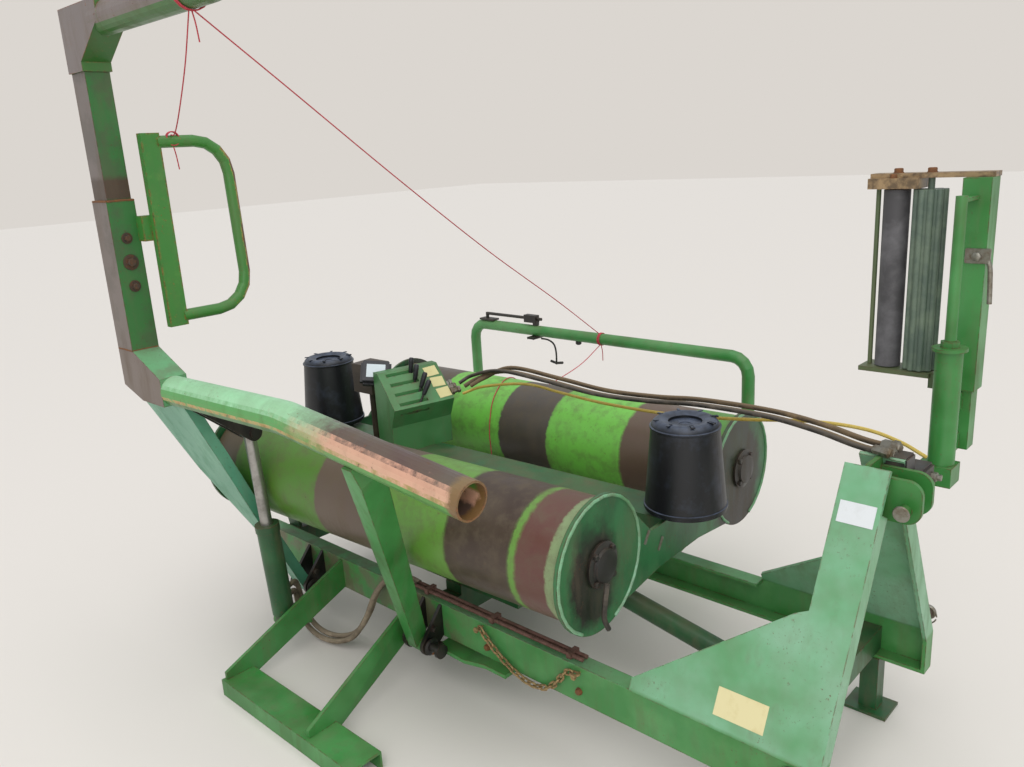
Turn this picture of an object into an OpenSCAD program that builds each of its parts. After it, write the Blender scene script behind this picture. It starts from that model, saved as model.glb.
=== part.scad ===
// Side loading turntable wrapper for round bales, carried on a three-point hitch.
// Millimetres. X points forward along the direction of travel, Y to the left, Z up.
// Every module draws in the machine frame, whose origin is on the ground under the turntable's axis.

/* [Table] */
// Distance of each table roller's axis from the machine's centre line
roller_y = 388; // [340:1:440]
// Height of the roller axes above the ground
roller_z = 597; // [570:1:640]
// Radius of the table rollers
roller_r = 162; // [140:1:168]
// Length of the roller's shell
roller_len = 1470; // [1200:5:1600]
// Wall of the roller's shell
roller_wall = 6; // [4:1:10]
// Radius of the roller's stub shafts
stub_r = 25; // [18:1:30]
// Radius of the end plate's lobe round each roller
lobe_r = 181; // [172:1:195]
// Thickness of the end plates
end_plate_t = 10; // [6:1:14]
// Gap between a roller and its end plate
end_gap = 8; // [5:1:14]
// Angle at which the table is parked
table_yaw = 2.6; // [0:0.1:3]

/* [Guide cones] */
// Distance of the cones' axes beyond the rollers' ends
cone_out = 37; // [30:1:60]
// Height of the cones' foot above the ground
cone_z = 616; // [612:1:660]
// Height of a cone
cone_h = 257; // [180:1:300]
// Radius at the cone's foot
cone_foot_r = 113; // [90:1:120]
// Radius at the cone's shoulder
cone_top_r = 93; // [70:1:100]

/* [Chassis] */
// Distance of the side plates' outer faces from the centre line
side_y = 360; // [340:1:380]
// Height of the side beams' underside
beam_z = 170; // [150:1:200]
// Height of the side beams
beam_h = 110; // [90:1:120]
// Width of the side beams' flanges
beam_flange = 50; // [40:1:60]
// Thickness of the folded side plates
plate_t = 10; // [6:1:12]
// Rear end of the side beams
beam_rear_x = -830; // [-900:1:-820]
// Front edge of the headstock
head_x = 1343; // [1300:1:1400]
// Width of the headstock's posts
post_w = 103; // [80:1:130]
// Where the headstock's web starts to rise from the beam
gusset_x = 850; // [800:1:950]
// Lean of the headstock's webs towards the centre line
web_lean = 28; // [24:1:31]
// Height of the headstock's top
head_top_z = 872; // [840:1:900]

/* [Hitch] */
// Height of the top link's pin
top_pin_z = 785; // [760:1:800]
// Radius of the top link's pin
top_pin_r = 12.7; // [9.5:0.1:16]
// Clear width between the top link's ears
top_gap = 54; // [45:1:56]
// Distance between the lower hitch pins' shoulders
lower_span = 825; // [780:1:870]
// Radius of the lower hitch pins
lower_pin_r = 14; // [11:0.5:18]
// Height of the lower hitch pins
lower_pin_z = 245; // [200:1:250]

/* [Tilt frame] */
// Distance of the tilt hinge behind the turntable's axis
tilt_x = 800; // [790:1:815]
// Height of the tilt hinge
tilt_z = 318; // [310:1:325]
// Radius of the tilt hinge's pin
tilt_pin_r = 17.5; // [15:0.5:20]
// Side of the tilt frame's square members
tilt_bar = 60; // [50:1:60]
// Distance of the tilt frame's members from the centre line
tilt_bar_y = 225; // [200:1:240]

/* [Loader] */
// Distance of the loader's pivot from the centre line
pivot_y = 420; // [410:1:440]
// Height of the loader's pivot
pivot_z = 165; // [150:1:180]
// Radius of the loader's pivot pins
pivot_r = 15; // [12:0.5:18]
// Where the front leg stands
leg_b_x = 115; // [105:1:120]
// Where the rear leg's foot stands
leg_a_x = -500; // [-505:1:-495]
// Height of the inner tube at the knee with the loader up
tube_z = 957; // [950:1:970]
// Radius of the loader's tubes
tube_r = 45; // [40:0.5:48]
// Wall of the loader's tubes
tube_wall = 5; // [3:0.5:8]
// Front end of the inner tube
tube_front_x = 770; // [700:5:800]
// Front end of the outer tube
top_front_x = 650; // [550:5:700]
// Where the loader's post stands
post_x = -706; // [-720:1:-700]
// Distance of the post from the centre line
post_y = 772; // [768:1:780]
// Length of the post's box section along the machine
post_l = 100; // [90:1:110]
// Width of the post's box section
post_w2 = 84; // [76:1:90]
// Height of the outer tube with the loader up
top_tube_z = 2008; // [1800:1:2100]

/* [Foot] */
// Outer edge of the near foot from the centre line
foot_y = 840; // [820:1:860]
// Width of the foot's channel
foot_w = 105; // [90:1:120]
// Height of the foot's channel
foot_h = 55; // [50:1:60]

/* [Hoop] */
// Distance of the stop hoop from the centre line
hoop_y = 970; // [950:1:1000]
// Radius of the hoop's tube
hoop_r = 24; // [20:0.5:28]
// Rear end of the hoop
hoop_rear_x = -985; // [-1010:1:-900]
// Front end of the hoop
hoop_front_x = 465; // [400:1:520]
// Height of the hoop's top
hoop_top_z = 800; // [760:1:850]

/* [Mast] */
// Place of the mast's hinge along the machine
mast_x = 1350; // [1330:1:1352]
// Distance of the mast's hinge from the centre line
mast_y = 282; // [276:1:290]
// Radius of the hinge's sleeve
sleeve_r = 31; // [28:0.5:34]
// Top of the bracket under the sleeve
mast_foot_z = 790; // [770:1:800]
// Top of the sleeve
sleeve_top_z = 1085; // [1060:1:1110]
// Side of the square mast
mast_side = 64; // [62:1:66]
// Top of the square mast
mast_top = 1475; // [1460:1:1490]

/* [Hidden] */
$fn = 48;

// Round stretches of hulls
HULL_FN = 32;

// Running fit of a pin in its bore
running = 0.05;

// Gap at a seat between two bodies
seat = 0.3;

beam_top_z = beam_z + beam_h;
end_plate_x = roller_len / 2 + end_gap;
end_plate_out = end_plate_x + end_plate_t;
cone_x = roller_len / 2 + cone_out;
web_rise = (head_top_z - beam_top_z) / cos(web_lean);
pin_r_clear = pivot_r + running;
leg_lean = atan((post_y - pivot_y) / (tube_z - pivot_z));
leg_len = norm([post_y - pivot_y, tube_z - pivot_z]);
ear_r = 34;
ear_x = head_x + 34;
front_reach = ear_x + ear_r;
rear_reach = hoop_rear_x - hoop_r;
far_reach = hoop_y + hoop_r;

// Distance of the webs' outer faces from the centre line at a height
function web_y(z) = side_y - (z - beam_top_z) * tan(web_lean);

// Draws in the part's own frame, whose origin is at the middle of the base
module placed() {
  translate([-(front_reach + rear_reach) / 2, -(far_reach - foot_y) / 2, 0]) children();
}

// Draws on the table, turned to where it is parked
module on_table() {
  placed() rotate([0, 0, table_yaw]) children();
}

// Lays a child's Z axis along the line from a to b
module along(a, b) {
  d = b - a;
  translate(a) rotate([0, acos(d.z / norm(d)), atan2(d.y, d.x)]) children();
}

module bar(a, b, r) {
  along(a, b) cylinder(h = norm(b - a), r = r);
}

function unit(v) = v / norm(v);
function bend_of(p, i) = acos(unit(p[i] - p[i - 1]) * unit(p[i + 1] - p[i]));

// Rings round each bend of a tube, and its first direction from its last
bend_rings = 5;

// Stations [place, direction] along the path p, with an arc of radius b at each inner point
function stations(p, b) = concat(
  [[p[0], unit(p[1] - p[0])]],
  [for (i = [1 : len(p) - 2])
    let (
      u = unit(p[i] - p[i - 1]),
      v = unit(p[i + 1] - p[i]),
      n = unit(v - u * (u * v)),
      turn = bend_of(p, i),
      c = p[i] - u * b * tan(turn / 2) + n * b
    )
    for (k = [0 : bend_rings - 1])
      let (a = turn * k / (bend_rings - 1))
      [c - n * b * cos(a) + u * b * sin(a), u * cos(a) + n * sin(a)]],
  [[p[len(p) - 1], unit(p[len(p) - 1] - p[len(p) - 2])]]
);

// Sideways directions that don't twist along the stations s
function sideways(s, a, i = 0) = i == len(s) ? [] :
  let (n = unit(a - s[i][1] * (a * s[i][1]))) concat([n], sideways(s, n, i + 1));

// A round bar swept through the points p, bent at radius b, with the given number of sides
module bent_bar(p, r, b, sides = 24) {
  s = stations(p, b);
  n = sideways(s, [0.31, 0.52, 0.79]);
  rings = [for (i = [0 : len(s) - 1]) for (k = [0 : sides - 1])
    let (a = 360 * k / sides) s[i][0] + (n[i] * cos(a) + cross(s[i][1], n[i]) * sin(a)) * r];
  walls = [for (i = [0 : len(s) - 2]) for (k = [0 : sides - 1])
    [(i + 1) * sides + k, (i + 1) * sides + (k + 1) % sides, i * sides + (k + 1) % sides, i * sides + k]];
  last = (len(s) - 1) * sides;
  polyhedron(rings, concat(
    walls,
    [[for (k = [0 : sides - 1]) k]],
    [[for (k = [sides - 1 : -1 : 0]) last + k]]
  ));
}

// Turns XY into YZ, so that an extrusion runs along X
module across() {
  rotate([90, 0, 90]) children();
}

flange_short = 100;

// Folded side plate: beam with an inward flange, and a web that leans in to the headstock's post
module side_plate() {
  color("seagreen") {
    translate([beam_rear_x, -side_y, beam_z])
      cube([head_x - beam_rear_x, plate_t, beam_h]);
    translate([beam_rear_x, -side_y, beam_z])
      cube([head_x - beam_rear_x, beam_flange, plate_t]);
    translate([beam_rear_x, -side_y, beam_top_z - plate_t])
      cube([gusset_x - beam_rear_x, beam_flange, plate_t]);
    translate([0, -side_y, beam_top_z]) rotate([90 - web_lean, 0, 0]) {
      translate([0, 0, -plate_t]) linear_extrude(plate_t) polygon([
        [gusset_x, -plate_t * tan(web_lean / 2)],
        [head_x, -plate_t * tan(web_lean / 2)],
        [head_x, web_rise],
        [head_x - post_w, web_rise],
        [head_x - post_w, web_rise / 2 - 10],
        [head_x - post_w - 30, web_rise / 2 - 25],
        [gusset_x, plate_t * 3]
      ]);
      translate([head_x - plate_t, 0, -beam_flange]) cube([plate_t, web_rise - flange_short, beam_flange]);
    }
    translate([head_x - plate_t, -side_y, beam_z])
      cube([plate_t, beam_flange, beam_h]);
  }
}

module near_side_plate() {
  placed() side_plate();
}

module far_side_plate() {
  placed() mirror([0, 1, 0]) side_plate();
}

// Box members that tie the side plates together, with the lugs of the tilt hinge and the ram's ears
cross_side = 70;
cross_z = beam_z + plate_t;
cross_rear_x = beam_rear_x + 20;
cross_front_x = head_x - 200;
lug_gap_y = 2;
lug_t = 12;
lug_y = tilt_bar_y + tilt_bar / 2 + lug_gap_y;
lug_r = 34;
ram_front = [cross_front_x - 38, 0, 190];
ram_rear = [418, 0, 318];
ram_eye_w = 40;
ram_ear_t = 12;
ram_pin_r = 12.5;

module cross_members() {
  placed() color("darkgreen") {
    for (x = [cross_rear_x, 60, cross_front_x])
      translate([x, -side_y + plate_t, cross_z]) cube([cross_side, (side_y - plate_t) * 2, cross_side]);
    for (s = [-1, 1])
      translate([-tilt_x, s * (lug_y + lug_t / 2) + lug_t / 2, 0]) hinge_lug();
    for (s = [-1, 1])
      translate([0, s * (ram_eye_w / 2 + 1 + ram_ear_t / 2) + ram_ear_t / 2, 0]) rotate([90, 0, 0])
        linear_extrude(ram_ear_t) hull() {
          translate([ram_front.x, ram_front.z]) circle(r = 24, $fn = HULL_FN);
          translate([cross_front_x - 2, cross_z]) square([2, cross_side]);
        }
    translate([ram_front.x, -ram_eye_w / 2 - ram_ear_t - 8, ram_front.z]) rotate([-90, 0, 0])
      cylinder(h = ram_eye_w + ram_ear_t * 2 + 16, r = ram_pin_r);
    for (s = [-1, 1])
      translate([60, s * tilt_bar_y - 25, cross_z + cross_side - 1]) cube([cross_side, 50, 34]);
  }
}

module hinge_lug() {
  difference() {
    rotate([90, 0, 0]) linear_extrude(lug_t) hull() {
      translate([0, tilt_z]) circle(r = lug_r, $fn = HULL_FN);
      translate([cross_rear_x + tilt_x, cross_z + cross_side - 2]) square([cross_side, 2]);
    }
    translate([0, 1, tilt_z]) rotate([90, 0, 0]) cylinder(h = lug_t + 2, r = tilt_pin_r + running);
  }
}

// Plate between the posts, with two ears in front that hold the top link's pin
ear_t = 12;
head_plate_x = head_x - 60;
head_plate_t = 12;
head_plate_low = top_pin_z - 50;

module top_link_clevis() {
  inset = plate_t / cos(web_lean) + seat;
  placed() color("green") {
    translate([head_plate_x, 0, 0]) across() linear_extrude(head_plate_t) polygon([
      [-web_y(head_plate_low) + inset, head_plate_low],
      [web_y(head_plate_low) - inset, head_plate_low],
      [web_y(head_top_z) - inset, head_top_z],
      [-web_y(head_top_z) + inset, head_top_z]
    ]);
    for (s = [-1, 1])
      translate([0, s * (top_gap / 2 + ear_t / 2) + ear_t / 2, 0]) rotate([90, 0, 0])
        linear_extrude(ear_t) hull() {
          for (z = [top_pin_z, top_pin_z + 34]) translate([ear_x, z]) circle(r = ear_r, $fn = HULL_FN);
          translate([head_plate_x + head_plate_t - 1, top_pin_z - ear_r]) square([1, 34 + ear_r * 2]);
        }
    translate([ear_x, -top_gap / 2 - ear_t - 24, top_pin_z]) rotate([-90, 0, 0])
      cylinder(h = top_gap + ear_t * 2 + 48, r = top_pin_r);
  }
}

// Pins of the lower links with their shoulders
lower_x = head_x - 60;
lower_len = 110;
shoulder_r = 27;

module lower_hitch_pins() {
  placed() color("dimgray") for (s = [0, 1]) mirror([0, s, 0])
    translate([lower_x, side_y, lower_pin_z]) rotate([-90, 0, 0]) {
      cylinder(h = lower_span / 2 - side_y, r = shoulder_r);
      cylinder(h = lower_span / 2 - side_y + lower_len, r = lower_pin_r);
    }
}

// Lugs on the near beam, either side of the loader's legs, with their pins
lug_gap = 64;
lug_plate = 12;
pin_over = 55;
pin_rear = 8;
pin_head = 12;
pin_head_r = 22;
pivot_lug_r = 30;

module loader_pivots() {
  placed() color("black") for (x = [leg_a_x, leg_b_x]) {
    for (s = [-1, 1])
      translate([x + s * (lug_gap / 2 + lug_plate / 2) - lug_plate / 2, 0, 0]) across()
        linear_extrude(lug_plate) hull() {
          translate([-pivot_y, pivot_z]) circle(r = pivot_lug_r, $fn = HULL_FN);
          translate([-side_y - 2, beam_z + 4]) square([2, beam_h - 8]);
        }
    translate([x - lug_gap / 2 - lug_plate - pin_rear, -pivot_y, pivot_z]) rotate([0, 90, 0])
      cylinder(h = lug_gap + lug_plate * 2 + pin_rear + pin_over, r = pivot_r);
    translate([x + lug_gap / 2 + lug_plate + pin_over - pin_head, -pivot_y, pivot_z]) rotate([0, 90, 0])
      cylinder(h = pin_head, r = pin_head_r);
  }
}

// Ground channel of the outrigger, its two arms up to the near beam, and the lift ram's ear and pin
foot_rear_x = -360;
foot_front_x = 300;
foot_wall = 6;
foot_in_y = foot_y - foot_w;
arm_t = 12;
arm_rear_x = -356;
arm_front_x = 33;
arm_skew = 55;
arm_top_z = 275;
arm_low_z = 172;
arm_in = 12;
lift_x = -402;
lift_foot_y = 572;
lift_foot_z = 120;
lift_top_y = 606;
lift_top_z = 800;
lift_pin_r = 12.5;
lift_eye_w = 50;
lift_ear_t = 12;
lift_ear_r = 22;
lift_head_t = 6;
lift_head_r = 17;
shelf_y = 512;
shelf_z = 98;
shelf_h = 47;

// Flat arm from the beam down to the channel, its outer end set forward by skew
module foot_arm(skew) {
  hull() {
    translate([0, -side_y - seat - 1, arm_low_z]) cube([arm_t, 1, arm_top_z - arm_low_z]);
    translate([skew, -foot_in_y - 5, foot_h / 2]) cube([arm_t, 5, 2]);
    translate([skew, -foot_y + arm_in, foot_h / 2]) cube([arm_t, 5, foot_h - 5]);
  }
}

module near_foot() {
  out_x = lift_x - lift_eye_w / 2 - 1 - lift_ear_t;
  placed() color("forestgreen") {
    translate([foot_rear_x, -foot_y, 0]) difference() {
      cube([foot_front_x - foot_rear_x, foot_w, foot_h]);
      translate([-1, foot_wall, -1])
        cube([foot_front_x - foot_rear_x + 2, foot_w - foot_wall * 2, foot_h - foot_wall + 1]);
    }
    translate([arm_rear_x, 0, 0]) foot_arm(0);
    translate([arm_front_x, 0, 0]) foot_arm(arm_skew);
    translate([out_x, 0, 0]) across() linear_extrude(lift_ear_t) hull() {
      translate([-lift_foot_y, lift_foot_z]) circle(r = lift_ear_r, $fn = HULL_FN);
      translate([-shelf_y, shelf_z]) square([arm_t, shelf_h]);
    }
    translate([out_x, -shelf_y, shelf_z]) cube([arm_rear_x + 1 - out_x, arm_t, shelf_h]);
    translate([out_x - lift_head_t, -lift_foot_y, lift_foot_z]) rotate([0, 90, 0])
      cylinder(h = arm_rear_x + arm_t - out_x + lift_head_t, r = lift_pin_r);
  }
}

// Plain feet under the side beams
feet = [
  // x, side
  [-600, 1],
  [1200, 1],
  [1200, -1]
];
foot_post = 50;
foot_pad_t = 8;
foot_pad_l = 120;
foot_pad_w = 100;

module parking_feet() {
  placed() color("darkgreen") for (f = feet) translate([f[0], f[1] * (side_y - foot_post / 2 - 5), 0]) {
    translate([-foot_post / 2, -foot_post / 2, foot_pad_t])
      cube([foot_post, foot_post, beam_z - foot_pad_t]);
    translate([-foot_pad_l / 2, -foot_pad_w / 2, 0]) cube([foot_pad_l, foot_pad_w, foot_pad_t]);
  }
}

// Bent flat that braces the front pivot to the beam's underside
brace_t = 12;
brace_w = 60;
brace_in = 25;
brace_drop = 26;
brace_x = leg_b_x + lug_gap / 2 + lug_plate;
brace_bend_x = brace_x + 120;
brace_flat_x = brace_x + 210;
brace_end_x = brace_x + 290;

module beam_brace() {
  placed() color("green") translate([0, -side_y + brace_in, 0]) rotate([90, 0, 0])
    linear_extrude(brace_w) polygon([
      [brace_x, pivot_z - brace_drop + 4],
      [brace_bend_x, pivot_z - brace_drop],
      [brace_flat_x, beam_z - brace_t],
      [brace_end_x, beam_z - brace_t],
      [brace_end_x, beam_z],
      [brace_flat_x - 5, beam_z],
      [brace_bend_x - 3, pivot_z - brace_drop + brace_t],
      [brace_x, pivot_z - brace_drop + brace_t + 4]
    ]);
}

// Slack chain of welded oval links on two bolts in the near beam's outer face
chain_out = 12;
chain_y = side_y + chain_out;
chain_start = [332, 270];
chain_links = 20;
link_l = 34;
link_w = 20;
wire_r = 3;
chain_pitch = link_l - wire_r * 4 - 0.15;
chain_bolt_r = wire_r - 0.1;
chain_nut_r = 9;

// Direction of the chain at some of its links, in degrees above the level
chain_heads = [
  // link, direction
  [0, -46],
  [3, -36],
  [6, -26],
  [9, -10],
  [11, 10],
  [13, 34],
  [15, 52],
  [17, 54],
  [18, 20],
  [20, -10]
];

function chain_way(i) = [cos(lookup(i, chain_heads)), sin(lookup(i, chain_heads))];
function chain_at(i) = i == 0 ? chain_start : chain_at(i - 1) + chain_pitch * chain_way(i - 1);

module chain_link() {
  mid = (link_l - link_w) / 2;
  for (s = [0, 1]) mirror([s, 0, 0]) translate([mid, 0, 0]) rotate([0, 0, -90])
    rotate_extrude(angle = 180, $fn = 16) translate([link_w / 2 - wire_r, 0]) circle(r = wire_r, $fn = 8);
  for (s = [-1, 1]) translate([-mid, s * (link_w / 2 - wire_r), 0]) rotate([0, 90, 0])
    cylinder(h = mid * 2, r = wire_r, $fn = 8);
}

module chain_bolt() {
  translate([0, 0, -chain_out]) cylinder(h = chain_out * 2 + 2, r = chain_bolt_r);
  translate([0, 0, chain_out + 1]) cylinder(h = 6, r = chain_nut_r, $fn = 6);
}

module beam_chain() {
  placed() color("tan") translate([0, -chain_y, 0]) rotate([90, 0, 0]) {
    for (i = [0 : chain_links - 1])
      translate((chain_at(i) + chain_at(i + 1)) / 2) rotate([0, 0, lookup(i, chain_heads)])
        rotate([i % 2 * 90, 0, 0]) chain_link();
    translate(chain_start + wire_r * chain_way(0)) chain_bolt();
    translate(chain_at(chain_links) - wire_r * chain_way(chain_links - 1)) chain_bolt();
  }
}

// Pair of steel pipes clipped along the top of the near beam
pipe_r = 6;
pipe_ys = [322, 340];
pipe_rear_x = 20;
pipe_front_x = 690;
clip_xs = [70, 350, 640];
clip_l = 16;
clip_edge = 10;

module beam_pipes() {
  placed() color("indianred") translate([0, 0, beam_top_z + seat + pipe_r + 2]) {
    for (y = pipe_ys)
      translate([pipe_rear_x, -y, 0]) rotate([0, 90, 0])
        cylinder(h = pipe_front_x - pipe_rear_x, r = pipe_r);
    for (x = clip_xs)
      translate([x, -pipe_ys[1] - clip_edge, -pipe_r - 2])
        cube([clip_l, pipe_ys[1] - pipe_ys[0] + clip_edge * 2, pipe_r * 2 + 6]);
  }
}

// Film cutter on the hoop's top: its bracket, post and rod, and the holder at the rod's end
cutter_x = -895;
cutter_l = 340;
cutter_rod_r = 7;
cutter_rod_z = 30;

module film_cutter() {
  placed() color("black") translate([cutter_x, hoop_y, hoop_top_z + hoop_r + seat]) {
    translate([-35, -20, 0]) cube([90, 40, 8]);
    translate([0, 0, 7]) cylinder(h = cutter_rod_z - 2, r = 8);
    translate([0, 0, cutter_rod_z]) rotate([0, 90, 0]) cylinder(h = cutter_l, r = cutter_rod_r);
    translate([cutter_l - 95, -14, cutter_rod_z - 18]) cube([70, 28, 34]);
    translate([cutter_l - 45, -10, 0]) cube([22, 20, 20]);
  }
}

// Tube hoop on the far side that keeps a bale on the table, with its arms to the far beam
hoop_arm_z = 345;
hoop_foot_z = 225;
hoop_bend = 70;

module stop_hoop() {
  placed() color("mediumseagreen") bent_bar([
    [hoop_rear_x + 420, side_y, hoop_foot_z],
    [hoop_rear_x + 420, side_y + 90, hoop_foot_z],
    [hoop_rear_x, hoop_y - 40, hoop_arm_z],
    [hoop_rear_x, hoop_y, hoop_arm_z + 130],
    [hoop_rear_x, hoop_y, hoop_top_z],
    [hoop_front_x, hoop_y, hoop_top_z],
    [hoop_front_x, hoop_y, hoop_arm_z + 130],
    [hoop_front_x, hoop_y - 40, hoop_arm_z],
    [hoop_front_x, side_y + 90, hoop_foot_z],
    [hoop_front_x, side_y, hoop_foot_z]
  ], hoop_r, hoop_bend);
}

// Arm on the far web, and the spindle that the mast's sleeve turns on
spindle_r = 20;
nut_h = 16;
arm_h = 50;

module mast_bracket() {
  placed() color("green") {
    translate([head_x - 40, 0, 0]) across() linear_extrude(40) polygon([
      [web_y(mast_foot_z - arm_h) + 1, mast_foot_z - arm_h],
      [mast_y, mast_foot_z - arm_h],
      [mast_y, mast_foot_z],
      [web_y(mast_foot_z) + 1, mast_foot_z]
    ]);
    translate([head_x - 40, mast_y - 35, mast_foot_z - arm_h]) cube([mast_x + 35 - head_x + 40, 70, arm_h]);
    translate([mast_x, mast_y, mast_foot_z - 1])
      cylinder(h = sleeve_top_z - sleeve_cap - seat - mast_foot_z + 1, r = spindle_r);
  }
}

// Two members and cross bars on the rear hinge, with the seat of the turntable and the ram's ears
tilt_bottom = tilt_z - tilt_bar / 2;
tilt_front_x = 380;
tilt_hub_r = 32;
seat_r = 200;
seat_top = tilt_z + tilt_bar / 2 + 12;
tilt_cross_xs = [-260, 200];
tilt_ear_x = 258;

module tilt_frame() {
  placed() color("green") {
    for (s = [-1, 1]) {
      translate([-tilt_x, s * tilt_bar_y - tilt_bar / 2, tilt_bottom + 2])
        cube([tilt_x + tilt_front_x, tilt_bar, tilt_bar - 4]);
      translate([-tilt_x, s * tilt_bar_y - tilt_bar / 2, tilt_z]) rotate([-90, 0, 0])
        cylinder(h = tilt_bar, r = tilt_hub_r);
      translate([0, s * (ram_eye_w / 2 + 1 + ram_ear_t / 2) + ram_ear_t / 2, 0]) rotate([90, 0, 0])
        linear_extrude(ram_ear_t) hull() {
          translate([ram_rear.x, ram_rear.z]) circle(r = 25, $fn = HULL_FN);
          translate([tilt_ear_x, tilt_bottom + 4]) square([2, tilt_bar - 8]);
        }
    }
    for (x = tilt_cross_xs)
      translate([x, -tilt_bar_y, tilt_bottom + 4]) cube([60, tilt_bar_y * 2, tilt_bar - 8]);
    translate([0, 0, tilt_bottom + 6]) cylinder(h = seat_top - tilt_bottom - 6, r = seat_r);
    translate([-tilt_x, -lug_y - lug_t - 30, tilt_z]) rotate([-90, 0, 0])
      cylinder(h = (lug_y + lug_t + 30) * 2, r = tilt_pin_r);
  }
}

// Slewing ring and its hub under the table's beam
table_beam_z = 505;
table_beam_h = 90;
ring_h = 40;
ring_r = 170;
hub_r = 110;

module turntable() {
  placed() color("dimgray") translate([0, 0, seat_top]) {
    cylinder(h = ring_h, r = ring_r);
    translate([0, 0, ring_h - 1]) cylinder(h = table_beam_z - seat_top - ring_h + 1, r = hub_r);
  }
}

// Beam between the end plates, with the plates, bosses and spindles of the guide cones
table_top = table_beam_z + table_beam_h;
spindle_plate_t = 12;
cone_spindle_r = 16;
boss_r = 45;
table_beam_w = 140;
spindle_plate_l = 100;

module table_beam() {
  on_table() color("forestgreen") {
    translate([-end_plate_x, -table_beam_w / 2, table_beam_z])
      cube([end_plate_x * 2, table_beam_w, table_beam_h]);
    for (s = [-1, 1]) translate([s * cone_x, 0, table_top]) {
      translate([-spindle_plate_l / 2, -spindle_plate_l / 2, 0])
        cube([spindle_plate_l, spindle_plate_l, spindle_plate_t]);
      translate([0, 0, spindle_plate_t - 1])
        cylinder(h = cone_z - table_top - spindle_plate_t + 1 - seat, r = boss_r);
      cylinder(h = cone_h + cone_z - table_top - 40, r = cone_spindle_r);
    }
  }
}

// Two lobes joined by a dipped waist, with bores for the rollers' stub shafts
module end_plate() {
  across() difference() {
    union() {
      for (s = [-1, 1]) translate([s * roller_y, roller_z, 0]) cylinder(h = end_plate_t, r = lobe_r);
      linear_extrude(end_plate_t) polygon([
        [-roller_y - 60, roller_z + 120],
        [-roller_y + 90, roller_z + 150],
        [-150, table_top],
        [150, table_top],
        [roller_y - 90, roller_z + 150],
        [roller_y + 60, roller_z + 120],
        [roller_y + 60, roller_z - 120],
        [roller_y - 90, roller_z - 150],
        [110, table_beam_z - 35],
        [-110, table_beam_z - 35],
        [-roller_y + 90, roller_z - 150],
        [-roller_y - 60, roller_z - 120]
      ]);
    }
    for (s = [-1, 1])
      translate([s * roller_y, roller_z, -1]) cylinder(h = end_plate_t + 2, r = stub_r + running);
  }
}

module front_end_plate() {
  on_table() color("green") translate([end_plate_x, 0, 0]) end_plate();
}

module rear_end_plate() {
  on_table() color("green") translate([-end_plate_out, 0, 0]) end_plate();
}

// Hollow shell with recessed end discs and stub shafts
disc_t = 10;
disc_in = 30;
disc_hole_r = 25;

module roller() {
  rotate([0, 90, 0]) translate([0, 0, -roller_len / 2]) difference() {
    rotate_extrude() polygon([
      [0, -end_gap - end_plate_t - 20],
      [stub_r, -end_gap - end_plate_t - 20],
      [stub_r, disc_in],
      [roller_r - roller_wall, disc_in],
      [roller_r - roller_wall, 0],
      [roller_r, 0],
      [roller_r, roller_len],
      [roller_r - roller_wall, roller_len],
      [roller_r - roller_wall, roller_len - disc_in],
      [stub_r, roller_len - disc_in],
      [stub_r, roller_len + end_gap + end_plate_t + 20],
      [0, roller_len + end_gap + end_plate_t + 20],
      [0, roller_len - disc_in - disc_t],
      [roller_r - roller_wall, roller_len - disc_in - disc_t],
      [roller_r - roller_wall, disc_in + disc_t],
      [0, disc_in + disc_t]
    ]);
    for (a = [0 : 90 : 270])
      rotate(a) translate([roller_r * 0.58, 0, -1]) cylinder(h = roller_len + 2, r = disc_hole_r);
  }
}

module near_roller() {
  on_table() color("yellowgreen") translate([0, -roller_y, roller_z]) roller();
}

module far_roller() {
  on_table() color("yellowgreen") translate([0, roller_y, roller_z]) roller();
}

// Moulded hollow cone with a rounded shoulder and a recessed top
cone_wall = 8;
shoulder = 22;

module cone() {
  rotate_extrude() difference() {
    hull() {
      square([cone_foot_r, 6]);
      translate([0, cone_h - shoulder]) square([cone_top_r, 1]);
      translate([cone_top_r - shoulder, cone_h - shoulder]) circle(r = shoulder);
    }
    translate([-cone_foot_r, -1]) square([cone_foot_r, cone_h + 2]);
    translate([0, -1]) square([cone_spindle_r + running, cone_h]);
    translate([0, cone_h - 14]) square([46, 20]);
    polygon([
      [40, -1],
      [cone_foot_r - cone_wall, -1],
      [cone_top_r - cone_wall, cone_h - 40],
      [40, cone_h - 40]
    ]);
  }
}

module front_cone() {
  on_table() color("black") translate([cone_x, 0, cone_z]) cone();
}

module rear_cone() {
  on_table() color("black") translate([-cone_x, 0, cone_z]) cone();
}

// Valve block under its slotted cover, which slopes down to the front, standing on the table's beam
console_at = [-310, 10];
console_turn = -16;
console_w = 235;
console_rear = -75;
console_front = 75;
console_high = 872;
console_low = 762;
slot_pitch = 30;
slot_w = 9;
slot_l = 110;
slot_end_y = 20;
slot_first_x = console_rear + 46;
slot_floor_z = console_low - 25;
cover_lip = 35;

lever_r = 4;
lever_l = 170;
lever_step = 18;
levers = [
  // slot, y, lean
  [0, -10, -8],
  [1, -15, -12],
  [2, -22, -24],
  [3, -28, -30]
];

module at_console() {
  on_table() translate([console_at.x, console_at.y, 0]) rotate([0, 0, console_turn]) children();
}

module console_cover() {
  at_console() color("green") difference() {
    translate([0, console_w / 2, 0]) rotate([90, 0, 0]) linear_extrude(console_w) polygon([
      [console_rear, table_top],
      [console_front - cover_lip, table_top],
      [console_front - cover_lip, console_low - cover_lip * 2],
      [console_front, console_low],
      [console_rear + cover_lip, console_high],
      [console_rear, console_high]
    ]);
    for (l = levers)
      translate([slot_first_x + l[0] * slot_pitch - slot_w / 2, slot_end_y - slot_l, slot_floor_z])
        cube([slot_w, slot_l, console_high - slot_floor_z + 1]);
  }
}

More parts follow.
